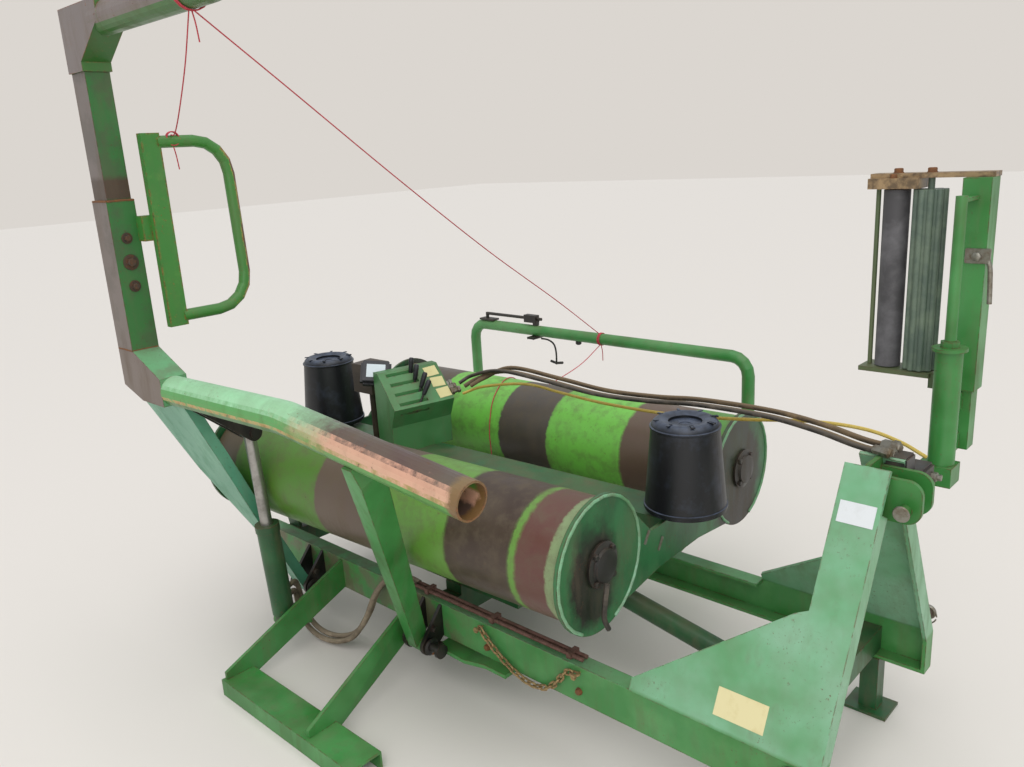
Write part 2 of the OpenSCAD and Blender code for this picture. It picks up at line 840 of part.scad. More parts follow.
module console_levers() {
  at_console() color("black") for (l = levers)
    translate([slot_first_x + l[0] * slot_pitch, l[1], slot_floor_z + seat - lever_r * sin(l[2])])
      rotate([l[2], 0, 0]) cylinder(h = lever_l - l[0] * lever_step, r = lever_r);
}

// Display housing on its stalk beside the valve block
counter_x = -500;
counter_z = 780;

module counter() {
  on_table() color("saddlebrown") translate([counter_x, -20, 0]) {
    translate([0, 0, table_top]) cylinder(h = counter_z - table_top + 1, r = 14);
    translate([-50, -45, counter_z]) cube([100, 90, 105]);
  }
}

// Inner tube of the loader, with its front end bent a little down and left open
tube_rear_x = -500;
tube_bend_x = 100;
tube_bend_z = 975;
tube_front_z = 912;
tube_hollow = 90;
tube_run = [
  [tube_rear_x - 2, -post_y, tube_z],
  [tube_bend_x, -post_y, tube_bend_z],
  [tube_front_x, -post_y, tube_front_z]
];

module loader_tube() {
  out = unit(tube_run[2] - tube_run[1]);
  placed() color("yellowgreen") difference() {
    bent_bar(tube_run, tube_r, 300);
    bar(tube_run[2] - out * tube_hollow, tube_run[2] + out * 5, tube_r - tube_wall);
    translate([seat, 0, 0]) knee_body();
  }
}

// Knee that ties the inner tube, the post and the rear leg
post_rear_x = post_x - post_l / 2;
post_front_x = post_x + post_l / 2;
knee_low_z = tube_z - 43;
knee_high_z = 1068;
post_low_z = knee_high_z + seat;
post_out_y = post_y + post_w2 / 2;

module knee_body() {
  translate([0, -post_y + post_w2 / 2, 0]) rotate([90, 0, 0]) linear_extrude(post_w2) polygon([
    [post_rear_x, knee_high_z],
    [post_rear_x, tube_z - 7],
    [post_rear_x + 116, knee_low_z],
    [tube_rear_x, knee_low_z],
    [tube_rear_x, tube_z + 43],
    [post_front_x, knee_high_z]
  ]);
}

module loader_knee() {
  placed() color("rosybrown") knee_body();
}

// Box-section sleeve with the narrower length of the post that slides in it
sleeve_z = 1518;
post_step = 6;
elbow_low_z = 1880;

module loader_post() {
  placed() color("seagreen") translate([post_rear_x, -post_out_y, 0]) {
    translate([0, 0, post_low_z]) cube([post_l, post_w2, sleeve_z - post_low_z]);
    translate([post_step, post_step, sleeve_z - 1])
      cube([post_l - post_step * 2, post_w2 - post_step * 2, elbow_low_z - seat - sleeve_z + 1]);
  }
}

// Outer tube with the elbow that sits on the post
elbow_front_x = -508;

module loader_top_tube() {
  placed() color("yellowgreen") {
    translate([0, -post_y + post_w2 / 2, 0]) rotate([90, 0, 0]) linear_extrude(post_w2) polygon([
      [post_rear_x, elbow_low_z],
      [post_rear_x, top_tube_z + tube_r],
      [elbow_front_x, top_tube_z + tube_r],
      [elbow_front_x, top_tube_z - 8],
      [post_front_x, elbow_low_z + 25],
      [post_front_x, elbow_low_z]
    ]);
    bent_bar([
      [elbow_front_x - 60, -post_y, top_tube_z],
      [15, -post_y, top_tube_z],
      [top_front_x, -post_y, top_tube_z + 40]
    ], tube_r - seat, 300);
  }
}

// Draws in the plane of the legs, with Z along them from the pivot and -Y outwards
module in_leg() {
  translate([0, -pivot_y, pivot_z]) rotate([leg_lean, 0, 0]) children();
}

// Broad rear leg, a flat box from its pivot up to the knee
leg_hub_r = 26;
leg_hub_l = 60;
leg_t = 36;
leg_in = 12;

module leg_hub() {
  translate([-leg_hub_l / 2, -pivot_y, pivot_z]) rotate([0, 90, 0]) cylinder(h = leg_hub_l, r = leg_hub_r);
}

module leg_bore() {
  translate([-leg_hub_l, -pivot_y, pivot_z]) rotate([0, 90, 0]) cylinder(h = leg_hub_l * 2, r = pin_r_clear);
}

module leg_a() {
  placed() color("teal") difference() {
    union() {
      translate([leg_a_x, 0, 0]) leg_hub();
      in_leg() translate([leg_a_x, leg_in, 0]) rotate([90, 0, 0]) linear_extrude(leg_t) polygon([
        [-26, 0],
        [26, 0],
        [22, 315],
        [45, 603],
        [55, leg_len],
        [-250, leg_len],
        [-180, 523],
        [-35, 250]
      ]);
    }
    translate([leg_a_x, 0, 0]) leg_bore();
    translate([0, 0, -seat]) knee_body();
    bar(tube_run[0], tube_run[1], tube_r + seat);
  }
}

// Slimmer front leg, a bar on edge, saddled under the inner tube
leg_b_top_x = 390;
leg_b_t = 36;
leg_b_in = 22;
leg_b_w = 50;
leg_b_top_in = 28;
leg_b_top_w = 80;

module leg_b() {
  placed() color("green") difference() {
    union() {
      translate([leg_b_x, 0, 0]) leg_hub();
      in_leg() hull() {
        translate([leg_b_x - leg_b_t / 2, leg_b_in - leg_b_w, 12]) cube([leg_b_t, leg_b_w, 20]);
        translate([leg_b_top_x - leg_b_t / 2, leg_b_top_in - leg_b_top_w, leg_len - tube_r * 2])
          cube([leg_b_t, leg_b_top_w, 60]);
      }
    }
    translate([leg_b_x, 0, 0]) leg_bore();
    bar(tube_run[1], tube_run[2], tube_r + seat);
  }
}

// Cheeks under the inner tube, either side of the lift ram's eye, with the heads of its pin
cheek_t = 10;
cheek_r = 26;

module loader_gusset() {
  placed() color("black") difference() {
    for (s = [-1, 1]) {
      translate([lift_x + s * (lift_eye_w / 2 + 1 + cheek_t / 2) - cheek_t / 2, 0, 0]) across()
        linear_extrude(cheek_t) hull() {
          translate([-lift_top_y, lift_top_z]) circle(r = cheek_r, $fn = HULL_FN);
          translate([-post_y - 20, tube_z - 30]) square([50, 2]);
        }
      translate([lift_x + s * (lift_eye_w / 2 + cheek_t + 3) - 3, -lift_top_y, lift_top_z])
        rotate([0, 90, 0]) cylinder(h = lift_head_t, r = lift_head_r);
    }
    bar(tube_run[0], tube_run[1], tube_r + seat);
  }
}

// Loop of tube on a flat bar that stops the bale from leaning on the post
stop_x = post_front_x + 50;
stop_r = 18;
stop_bar_t = 25;
stop_bar_w = 58;
stop_in_y = 651;
stop_low_z = 1130;
stop_high_z = 1706;
stop_tip_y = 440;
stop_tie_z = 1395;
stop_tie_w = 45;
stop_tie_h = 75;

module bale_stop() {
  placed() color("green") {
    translate([stop_x - stop_bar_t / 2, -stop_in_y - stop_bar_w, stop_low_z])
      cube([stop_bar_t, stop_bar_w, stop_high_z - stop_low_z]);
    bent_bar([
      [stop_x, -stop_in_y - 9, stop_high_z - 26],
      [stop_x, -stop_tip_y, stop_high_z - 26],
      [stop_x, -stop_tip_y + 13, stop_low_z + 28],
      [stop_x, -stop_in_y - 9, stop_low_z + 28]
    ], stop_r, 105);
    translate([post_front_x + seat, -stop_in_y - stop_bar_w + 19 - stop_tie_w, stop_tie_z])
      cube([stop_x - post_front_x - stop_bar_t / 2 + 1, stop_tie_w, stop_tie_h]);
  }
}

// Rams: a barrel with its eye, neck and gland, and a rod with its eye, pin through
gland_l = 24;
eye_r = 24;

module ram_barrel(a, b, r, rod_r, cut) {
  along(a, b) difference() {
    union() {
      cylinder(h = 40, r = 17);
      translate([0, 0, 34]) cylinder(h = cut - 34, r = r);
      translate([0, 0, cut - gland_l]) cylinder(h = gland_l, r = r + 3);
    }
    translate([0, 0, 60]) cylinder(h = cut, r = rod_r + running);
  }
}

module eye_x(p, w, r) {
  translate(p - [w / 2, 0, 0]) rotate([0, 90, 0]) cylinder(h = w, r = r);
}

module eye_y(p, w, r) {
  translate(p - [0, w / 2, 0]) rotate([-90, 0, 0]) cylinder(h = w, r = r);
}

lift_a = [lift_x, -lift_foot_y, lift_foot_z];
lift_b = [lift_x, -lift_top_y, lift_top_z];
lift_bore_r = 36;
lift_rod_r = 19;
lift_cut = 360;
lift_rod_in = 110;

module lift_barrel() {
  placed() color("forestgreen") difference() {
    union() {
      ram_barrel(lift_a, lift_b, lift_bore_r, lift_rod_r, lift_cut);
      eye_x(lift_a, lift_eye_w, eye_r);
    }
    eye_x(lift_a, lift_eye_w * 2, lift_pin_r + running);
  }
}

module lift_rod() {
  u = unit(lift_b - lift_a);
  placed() color("silver") {
    bar(lift_a + u * (lift_cut - lift_rod_in), lift_b, lift_rod_r);
    eye_x(lift_b, lift_eye_w, eye_r);
  }
}

tilt_bore_r = 30;
tilt_rod_r = 16;
tilt_cut = 620;
tilt_rod_in = 70;

module tilt_barrel() {
  placed() color("forestgreen") difference() {
    union() {
      ram_barrel(ram_front, ram_rear, tilt_bore_r, tilt_rod_r, tilt_cut);
      eye_y(ram_front, ram_eye_w, eye_r);
    }
    eye_y(ram_front, ram_eye_w * 2, ram_pin_r + running);
  }
}

module tilt_rod() {
  u = unit(ram_rear - ram_front);
  placed() color("silver") {
    bar(ram_front + u * tilt_rod_in, ram_rear, tilt_rod_r);
    eye_y(ram_rear, ram_eye_w, eye_r - 1);
  }
}

// Swinging mast: a capped sleeve on the spindle with its tie pipe, the arms and inner post welded to it
mast_c = [1355, 407];
inner_side = 50;
inner_low_z = 800;
inner_top_z = 1100;
mast_low_z = 955;
sleeve_cap = 12;
cap_r = 40;
tie_r = 13;
tie_top_z = 1440;

module mast_inner() {
  placed() color("green") difference() {
    union() {
      translate([mast_x, mast_y, mast_foot_z + seat])
        cylinder(h = sleeve_top_z - mast_foot_z - seat, r = sleeve_r);
      translate([mast_x, mast_y, sleeve_top_z - 8]) cylinder(h = 8, r = cap_r);
      translate([mast_x, mast_y, sleeve_top_z - 1]) cylinder(h = nut_h, r = 22, $fn = 6);
      translate([mast_x, mast_y, sleeve_top_z]) cylinder(h = tie_top_z - sleeve_top_z, r = tie_r);
      translate([mast_x - tie_r, mast_y, tie_top_z - 14])
        cube([tie_r * 2, mast_c.y - mast_side / 2 - seat - mast_y, 8]);
      translate([mast_c.x - inner_side / 2, mast_c.y - inner_side / 2, inner_low_z])
        cube([inner_side, inner_side, inner_top_z - inner_low_z]);
      for (z = [inner_low_z, mast_low_z - 50])
        translate([mast_x - 10, mast_y, z]) cube([20, mast_c.y - mast_y, 45]);
    }
    translate([mast_x, mast_y, mast_foot_z - 1])
      cylinder(h = sleeve_top_z - sleeve_cap - mast_foot_z + 1, r = spindle_r + running);
  }
}

module mast() {
  placed() color("mediumseagreen") translate([mast_c.x, mast_c.y, mast_low_z]) difference() {
    translate([-mast_side / 2, -mast_side / 2, 0]) cube([mast_side, mast_side, mast_top - mast_low_z]);
    translate([-inner_side / 2 - seat, -inner_side / 2 - seat, -1])
      cube([inner_side + seat * 2, inner_side + seat * 2, inner_top_z - mast_low_z + 1 + seat]);
  }
}

// Top plate, block, tie rod and lower plates that hold the film rollers
film_y = 424;
grip_x = 1157;
ribbed_x = 1238;
film_low_z = 985;
film_high_z = 1450;
film_shaft_r = 8;
film_rear_x = 1096;
film_plate_w = 84;
film_plate_t = 12;
film_block_l = 124;
film_plate_l = 180;
film_arm_h = 40;
tie_rod_x = 1112;
tie_rod_r = 6;

module dispenser_frame() {
  placed() color("peru") difference() {
    union() {
      translate([film_rear_x, film_y - 25, mast_top + seat])
        cube([mast_c.x + mast_side / 2 - film_rear_x, 50, film_plate_t]);
      translate([film_rear_x, film_y - film_plate_w / 2, film_high_z])
        cube([film_block_l, film_plate_w, mast_top + seat + 1 - film_high_z]);
      translate([film_rear_x, film_y - film_plate_w / 2, film_low_z - film_plate_t])
        cube([film_plate_l, film_plate_w, film_plate_t]);
      translate([film_rear_x + film_plate_l - 4, film_y - 30, film_low_z - film_arm_h])
        cube([mast_c.x - mast_side / 2 - seat - film_rear_x - film_plate_l + 4, film_plate_t, film_arm_h]);
      translate([tie_rod_x, film_y - 4, film_low_z - 6])
        cylinder(h = film_high_z - film_low_z + 12, r = tie_rod_r);
    }
    for (x = [grip_x, ribbed_x])
      translate([x, film_y, film_low_z - 20])
        cylinder(h = mast_top - film_low_z + 60, r = film_shaft_r + running);
  }
}

module film_roller() {
  linear_extrude(film_high_z - film_low_z - 6) children();
  translate([0, 0, -film_plate_t]) cylinder(h = mast_top - film_low_z + film_plate_t + 6, r = film_shaft_r);
}

grip_r = 32;

module grip_roller() {
  placed() color("dimgray") translate([grip_x, film_y, film_low_z + 3]) film_roller() circle(r = grip_r);
}

// Lengthwise flutes on the second roller
flutes = 10;
flute_r = 8;
fluted_r = 34;

module ribbed_roller() {
  placed() color("green") translate([ribbed_x, film_y, film_low_z + 3]) film_roller() {
    circle(r = fluted_r + 1);
    for (i = [0 : flutes - 1])
      rotate(i * 360 / flutes) translate([fluted_r, 0]) circle(r = flute_r, $fn = 16);
  }
}

near_side_plate();
far_side_plate();
cross_members();
top_link_clevis();
lower_hitch_pins();
near_foot();
parking_feet();
loader_pivots();
beam_brace();
beam_chain();
beam_pipes();
stop_hoop();
film_cutter();
mast_bracket();
tilt_frame();
turntable();
table_beam();
front_end_plate();
rear_end_plate();
near_roller();
far_roller();
front_cone();
rear_cone();
console_cover();
console_levers();
counter();
loader_tube();
loader_knee();
loader_post();
loader_top_tube();
leg_a();
leg_b();
loader_gusset();
bale_stop();
lift_barrel();
lift_rod();
tilt_barrel();
tilt_rod();
mast_inner();
mast();
dispenser_frame();
grip_roller();
ribbed_roller();
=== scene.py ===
"""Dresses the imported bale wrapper: paint, rust and wear on its solids, and the small pieces on them.

Everything is in metres, in the part's own frame: X forward to the hitch, Y to the far side, Z up.
"""

import math

import bmesh
import bpy
from mathutils import Matrix, Vector


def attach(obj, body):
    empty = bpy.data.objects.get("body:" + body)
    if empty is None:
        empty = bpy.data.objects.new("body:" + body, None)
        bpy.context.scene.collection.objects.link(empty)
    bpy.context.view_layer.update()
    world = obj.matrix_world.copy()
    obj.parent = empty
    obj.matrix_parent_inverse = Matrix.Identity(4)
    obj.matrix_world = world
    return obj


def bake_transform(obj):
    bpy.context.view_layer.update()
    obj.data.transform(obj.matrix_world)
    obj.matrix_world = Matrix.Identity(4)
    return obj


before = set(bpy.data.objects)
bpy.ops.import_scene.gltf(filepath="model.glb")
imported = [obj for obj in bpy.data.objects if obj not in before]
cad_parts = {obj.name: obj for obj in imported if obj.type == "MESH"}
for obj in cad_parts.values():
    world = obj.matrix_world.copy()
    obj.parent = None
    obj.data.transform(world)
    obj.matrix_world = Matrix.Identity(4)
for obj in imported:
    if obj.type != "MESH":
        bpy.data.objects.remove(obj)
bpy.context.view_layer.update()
scene = bpy.context.scene
scene.view_settings.view_transform = "Standard"


# Camera
# Stands at head height off the machine's near front corner, as the photographer did.
# The part's frame lies SHIFT away from the machine's own, whose origin is under the turntable.
SHIFT = Vector((-0.201, -0.077, 0))
EYE = Vector((1.961, -1.882, 1.600)) + SHIFT
PITCH, YAW, ROLL = (math.radians(a) for a in (15.252, 43.66, -3.328))
FOCAL = 857.4  # pixels
PHOTO_WIDTH = 1024  # pixels
SENSOR = 36  # mm
SIGHT = 60  # m, as far as the floor reaches

level = Vector((-math.sin(YAW), math.cos(YAW), 0))
side = Vector((math.cos(YAW), math.sin(YAW), 0))
ahead = level * math.cos(PITCH) - Vector((0, 0, math.sin(PITCH)))
above = level * math.sin(PITCH) + Vector((0, 0, math.cos(PITCH)))
right = side * math.cos(ROLL) + above * math.sin(ROLL)
up = above * math.cos(ROLL) - side * math.sin(ROLL)
lens = bpy.data.cameras.new("camera")
lens.sensor_width = SENSOR
lens.lens = FOCAL * SENSOR / PHOTO_WIDTH
lens.clip_end = SIGHT
camera = bpy.data.objects.new("camera", lens)
camera.matrix_world = Matrix.Translation(EYE) @ Matrix((right, up, -ahead)).transposed().to_4x4()
scene.collection.objects.link(camera)
scene.camera = camera


# Hoses and twine
# Wire-braided rubber hoses of 13 to 18 mm, crimped on their couplings, sag from the console to the
# headstock and from the near beam's pipes to the lift ram, and a cable in a yellow sleeve lies with
# them. Baler twine is tied from the upper tube to the hoop, to the stop and over the far roller.
MM = 1000  # millimetres in a metre
A, B, TINT = 6, 7, 2  # a Mix node's two colours, and the place of their mix among its outputs


def linear(colour):
    """An sRGB hex colour as linear RGBA."""
    parts = [int(colour[i : i + 2], 16) / 255 for i in (1, 3, 5)]
    return [c / 12.92 if c <= 0.04045 else ((c + 0.055) / 1.055) ** 2.4 for c in parts] + [1]


def add(tree, kind, sockets=None, output=0, **settings):
    """Adds a shader node with its settings and its sockets' links, hex colours and values."""
    made = tree.nodes.new("ShaderNode" + kind)
    for name, value in settings.items():
        setattr(made, name, value)
    for name, value in (sockets or {}).items():
        if isinstance(value, bpy.types.NodeSocket):
            tree.links.new(value, made.inputs[name])
        else:
            made.inputs[name].default_value = linear(value) if isinstance(value, str) else value
    return made.outputs[output] if made.outputs else None


def blank(name):
    """A new material and its empty tree."""
    made = bpy.data.materials.new(name)
    made.use_nodes = True
    made.node_tree.nodes.clear()
    return made, made.node_tree


def surfaced(tree, sockets):
    """Ends a material's tree with its shader, whose sockets take links, hex colours and values."""
    add(tree, "OutputMaterial", {"Surface": add(tree, "BsdfPrincipled", sockets)})


def patches(tree, place, wide_mm, low, high, detail=3, rough=0.6):
    """Uneven patches about wide_mm across, 0 where their noise is at low and 1 where it is at high."""
    blots = {"Vector": place, "Scale": MM / wide_mm, "Detail": detail, "Roughness": rough}
    return add(tree, "MapRange", {"Value": add(tree, "TexNoise", blots), "From Min": low, "From Max": high})


def grained(tree, place, wide_mm, detail, strength, depth):
    """The slight unevenness of a surface, with bumps about wide_mm across."""
    blots = {"Vector": place, "Scale": MM / wide_mm, "Detail": detail, "Roughness": 0.6}
    height = add(tree, "TexNoise", blots)
    return add(tree, "Bump", {"Height": height, "Strength": strength, "Distance": depth})


def facing(tree, axis):
    """How far the surface faces along an axis of the machine at rest, from -1 to 1."""
    return add(tree, "SeparateXYZ", {"Vector": add(tree, "TexCoord", output="Normal")}, axis)


def moulded(name, colour, bleached, roughness, wide_mm=90):
    """Moulded plastic or rubber, bleached in patches about wide_mm across and where it faces up."""
    made, tree = blank(name)
    place = add(tree, "TexCoord", output="Object")
    upper = add(tree, "MapRange", {"Value": facing(tree, "Z"), "From Min": 0.1, "From Max": 0.9})
    upper = add(tree, "Math", {0: upper, 1: 0.7}, operation="MULTIPLY")
    pale = patches(tree, place, wide_mm, 0.42, 0.70, 5)
    pale = add(tree, "Math", {0: pale, 1: upper}, operation="MAXIMUM")
    tint = add(tree, "Mix", {0: pale, A: colour, B: bleached}, TINT, data_type="RGBA")
    grain = grained(tree, place, 2.5, 5, 0.2, 0.001)
    surfaced(tree, {"Base Color": tint, "Roughness": roughness, "Normal": grain})
    return made


# Synthetic rubber under dry soil, matt and warm brown. Under caked mud it is fawn, and where dust
# only greys it, near black with a faint sheen.
hose_cover = moulded("brown dusted hose", "#43382b", "#7d684b", 0.75, 60)
fawn_hose = moulded("mud fawn hose", "#6a5d4d", "#9a8b76", 0.8, 40)
black_rubber = moulded("dusty black rubber", "#26231f", "#5d5347", 0.62, 40)
# PVC bleached by the sun from yellow to straw, with a dull gloss.
yellow_sleeve = moulded("yellow cable sleeve", "#b59a3c", "#d0b964", 0.6, 50)
# Polypropylene twine, whose loose fibres leave it with no gloss. They are too fine to draw.
twine_red = moulded("pink red twine", "#b03440", "#c8505a", 0.85, 8)

TABLE_YAW = math.radians(2.6)
TWINE = 0.0018
RAM_HOSE = 0.009


def at(x, y, z):
    """A point of the machine's own frame, in the part's frame."""
    return Vector((x, y, z)) + SHIFT


def table_at(x, y, z):
    """A point of the table, turned to where it is parked."""
    return Matrix.Rotation(TABLE_YAW, 4, "Z") @ Vector((x, y, z)) + SHIFT


def skinned(shape, rings):
    """Joins rings of as many points each into a closed skin."""
    for lower, upper in zip(rings, rings[1:]):
        for k in range(len(lower)):
            n = (k + 1) % len(lower)
            shape.faces.new((lower[k], lower[n], upper[n], upper[k]))
    shape.faces.new(list(reversed(rings[0])))
    shape.faces.new(rings[-1])


def swept(shape, points, radius, sides):
    """Adds a round bar along points, with flat ends."""
    points = [Vector(p) for p in points]
    ways = [(b - a).normalized() for a, b in zip(points, points[1:])]
    ways = [ways[0]] + [(a + b).normalized() for a, b in zip(ways, ways[1:])] + [ways[-1]]
    out = ways[0].orthogonal().normalized()
    rings = []
    for point, way in zip(points, ways):
        out = (out - way * out.dot(way)).normalized()
        across = way.cross(out)
        ring = []
        for k in range(sides):
            a = math.tau * k / sides
            ring.append(shape.verts.new(point + (out * math.cos(a) + across * math.sin(a)) * radius))
        rings.append(ring)
    skinned(shape, rings)


def curved(points):
    """A smooth line through points, in eight steps from each to the next."""
    steps = 8
    points = [Vector(p) for p in points]
    ends = [points[0] * 2 - points[1]] + points + [points[-1] * 2 - points[-2]]
    line = []
    for a, b, c, d in zip(ends, ends[1:], ends[2:], ends[3:]):
        for k in range(steps):
            t = k / steps
            square = (2 * a - 5 * b + 4 * c - d) * t * t
            cube = (3 * b - a - 3 * c + d) * t**3
            line.append(0.5 * (2 * b + (c - a) * t + square + cube))
    return line + [points[-1]]


def finished(name, shape, material, body=None):
    """Makes an object of the shape, smooth but for its edges, that rides on body."""
    mesh = bpy.data.meshes.new(name)
    shape.to_mesh(mesh)
    shape.free()
    mesh.shade_smooth()
    mesh.set_sharp_from_angle(angle=math.radians(38))
    mesh.materials.append(material)
    made = bpy.data.objects.new(name, mesh)
    scene.collection.objects.link(made)
    if body:
        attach(made, body)
    return made


def run(
    name, points, radius, material, joins=None,
    body=None, sides=10,
):
    """A free hose or twine along points. joins are the two bodies it spans."""
    line = curved(points)
    shape = bmesh.new()
    swept(shape, line, radius, sides)
    made = finished(name, shape, material, body)
    if joins:
        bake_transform(made)


console_runs = [
    # name, radius, shift along Y, shift along Z, material, length
    ("pressure_hose", 0.0075, 0.000, 0.000, hose_cover, 1.57),
    ("return_hose", 0.0075, 0.032, 0.006, hose_cover, 1.55),
    ("leak_hose", 0.0065, -0.026, 0.008, black_rubber, 1.59),
]
for name, radius, dy, dz, material, length in console_runs:
    run(
        name,
        [
            at(-0.215 + dy, 0.150, 0.790 + dz),
            at(-0.180 + dy, 0.185, 0.815 + dz),
            at(-0.060, 0.205 + dy, 0.853 + dz),
            at(0.150, 0.212 + dy, 0.843 + dz),
            at(0.357, 0.204 + dy, 0.833 + dz),
            at(0.550, 0.200 + dy, 0.843 + dz),
            at(0.708, 0.200 + dy, 0.858 + dz),
            at(0.935, 0.180 + dy, 0.868 + dz),
            at(1.100, 0.130 + dy, 0.872 + dz),
            at(1.225, 0.085 + dy, 0.868 + dz),
            at(1.300, 0.062 + dy, 0.872 + dz),
        ],
        radius,
        material,
        ("tilting_frame", "chassis"),
    )
run(
    "yellow_cable",
    [
        at(-0.215, 0.140, 0.765),
        at(-0.150, 0.185, 0.790),
        at(0.020, 0.220, 0.815),
        at(0.178, 0.225, 0.806),
        at(0.363, 0.220, 0.800),
        at(0.617, 0.215, 0.808),
        at(0.835, 0.215, 0.832),
        at(1.040, 0.215, 0.862),
        at(1.180, 0.212, 0.868),
        at(1.270, 0.215, 0.850),
        at(1.330, 0.235, 0.815),
    ],
    0.005,
    yellow_sleeve,
    ("tilting_frame", "chassis"),
    sides=8,
)
for name, dy, dz, port in (("ram_hose_lower", 0.0, 0.0, 0.205), ("ram_hose_upper", 0.018, 0.012, 0.235)):
    run(
        name,
        [
            at(0.016, -0.340 + dy, 0.2883),
            at(-0.030, -0.342 + dy, 0.291),
            at(-0.080, -0.362 + dy, 0.292),
            at(-0.125, -0.395 + dy, 0.235 + dz),
            at(-0.165, -0.415 + dy, 0.140 + dz),
            at(-0.220, -0.435 + dy, 0.060 + dz),
            at(-0.295, -0.455 + dy, 0.024 + dz),
            at(-0.375, -0.470 + dy, 0.022 + dz),
            at(-0.432, -0.480 + dy, 0.058 + dz),
            at(-0.447, -0.490 + dy, 0.125 + dz),
            at(-0.428, -0.508 + dy / 2, port - 0.012),
            at(-0.406, -0.540, port),
        ],
        RAM_HOSE,
        fawn_hose,
        ("chassis", "lift_ram_barrel"),
    )
run(
    "long_twine",
    [
        at(-0.070, -0.772, 1.961),
        at(-0.094, -0.520, 1.790),
        at(-0.130, -0.140, 1.530),
        at(-0.165, 0.260, 1.265),
        at(-0.200, 0.660, 1.020),
        at(-0.226, 0.962, 0.825),
    ],
    TWINE,
    twine_red,
    ("loader", "chassis"),
    sides=6,
)
run(
    "short_twine",
    [
        at(-0.092, -0.772, 1.961),
        at(-0.200, -0.745, 1.850),
        at(-0.360, -0.700, 1.742),
        at(-0.500, -0.650, 1.698),
        at(-0.604, -0.610, 1.699),
    ],
    TWINE,
    twine_red,
    body="loader",
    sides=6,
)
roller_top = table_at(-0.235, 0.5035, 0.7142)
run(
    "roller_twine",
    [
        at(-0.226, 0.970, 0.7745),
        at(-0.245, 0.860, 0.7120),
        table_at(-0.235, 0.750, 0.6720),
        table_at(-0.237, 0.650, 0.6620),
        table_at(-0.238, 0.565, 0.6790),
        roller_top,
        table_at(-0.225, 0.4500, 0.7495),
        table_at(-0.208, 0.3880, 0.7620),
        table_at(-0.190, 0.3260, 0.7495),
        table_at(-0.175, 0.2715, 0.7142),
        table_at(-0.163, 0.2370, 0.6630),
        table_at(-0.158, 0.2215, 0.6000),
        table_at(-0.155, 0.2210, 0.5400),
        table_at(-0.153, 0.2215, 0.4700),
    ],
    TWINE,
    twine_red,
    ("chassis", "tilting_frame"),
    sides=6,
)


# Chassis
# Two folded steel side plates, tied by box members, on welded feet. Each plate is a beam along its
# foot and a leaning web at the headstock. Two pipes run along the near beam and a chain hangs there.
def painted(name, coat, faded, dirt=0.35, chips=0.5, primer="#6b3f2a", edge=1.0):
    """Sprayed enamel, years outdoors. coat is a colour, or a function that makes a pattern.

    It fades in patches, is filmed with brown soil, and is chipped and rubbed at its edges to rust.
    """
    made, tree = blank(name)
    place = add(tree, "TexCoord", output="Object")
    patterned = callable(coat)
    base = coat(tree, place) if patterned else coat
    fade = patches(tree, place, 260, 0.40, 0.64)
    fade = add(tree, "Math", {0: fade, 1: 0.12 if patterned else 0.8}, operation="MULTIPLY")
    base = add(tree, "Mix", {0: fade, A: base, B: faded}, TINT, data_type="RGBA")

    streaks = add(tree, "Mapping", {"Vector": place, "Scale": (1, 1, 0.22)})
    film = patches(tree, streaks, 55, 0.47, 0.74, 7, 0.65)
    settled = add(tree, "MapRange", {"Value": facing(tree, "Z"), "From Min": -0.2, "From Max": 0.95})
    settled = add(tree, "Math", {0: settled, 1: patches(tree, place, 90, 0.35, 0.7, 6)}, operation="MULTIPLY")
    film = add(tree, "Math", {0: film, 1: settled}, operation="MAXIMUM")
    soiled = add(tree, "Math", {0: film, 1: dirt}, operation="MULTIPLY")
    base = add(tree, "Mix", {0: soiled, A: base, B: "#6a5c48"}, TINT, data_type="RGBA")

    specks = patches(tree, place, 8, 0.60, 0.66, 6, 0.72)
    specks = add(tree, "Math", {0: specks, 1: patches(tree, place, 150, 0.46, 0.62, 4)}, operation="MULTIPLY")
    rounded = add(tree, "Bevel", {"Radius": 0.006 * edge}, samples=4)
    true = add(tree, "NewGeometry", output="Normal")
    rubbed = add(tree, "VectorMath", {0: rounded, 1: true}, "Value", operation="DOT_PRODUCT")
    rubbed = add(tree, "MapRange", {"Value": rubbed, "From Min": 0.97, "From Max": 0.85})
    rubbed = add(tree, "Math", {0: rubbed, 1: patches(tree, place, 26, 0.44, 0.54, 5)}, operation="MULTIPLY")
    bare = add(tree, "Math", {0: specks, 1: rubbed}, operation="MAXIMUM")
    bare = add(tree, "Math", {0: bare, 1: chips}, operation="MULTIPLY")
    rust = patches(tree, place, 6, 0.4, 0.65, 4)
    rust = add(tree, "Mix", {0: rust, A: primer, B: "#3e2a20"}, TINT, data_type="RGBA")
    base = add(tree, "Mix", {0: bare, A: base, B: rust}, TINT, data_type="RGBA")

    rough = add(tree, "MapRange", {"Value": film, "To Min": 0.34, "To Max": 0.66})
    dull = add(tree, "Math", {0: bare, 1: 0.8}, operation="MULTIPLY")
    rough = add(tree, "Math", {0: rough, 1: dull}, operation="MAXIMUM")
    grit = add(tree, "TexNoise", {"Vector": place, "Scale": MM / 3, "Detail": 4, "Roughness": 0.6})
    depth = add(tree, "Math", {0: film, 1: 0.7}, operation="MULTIPLY")
    depth = add(tree, "Math", {0: depth, 1: 0.3}, operation="ADD")
    grit = add(tree, "Math", {0: grit, 1: depth}, operation="MULTIPLY")
    flaked = add(tree, "Math", {0: bare, 1: 1.2}, operation="MULTIPLY")
    height = add(tree, "Math", {0: grit, 1: flaked}, operation="SUBTRACT")
    grain = add(tree, "Bump", {"Height": height, "Strength": 0.22, "Distance": 0.0015})
    surfaced(tree, {"Base Color": base, "Roughness": rough, "Normal": grain})
    return made


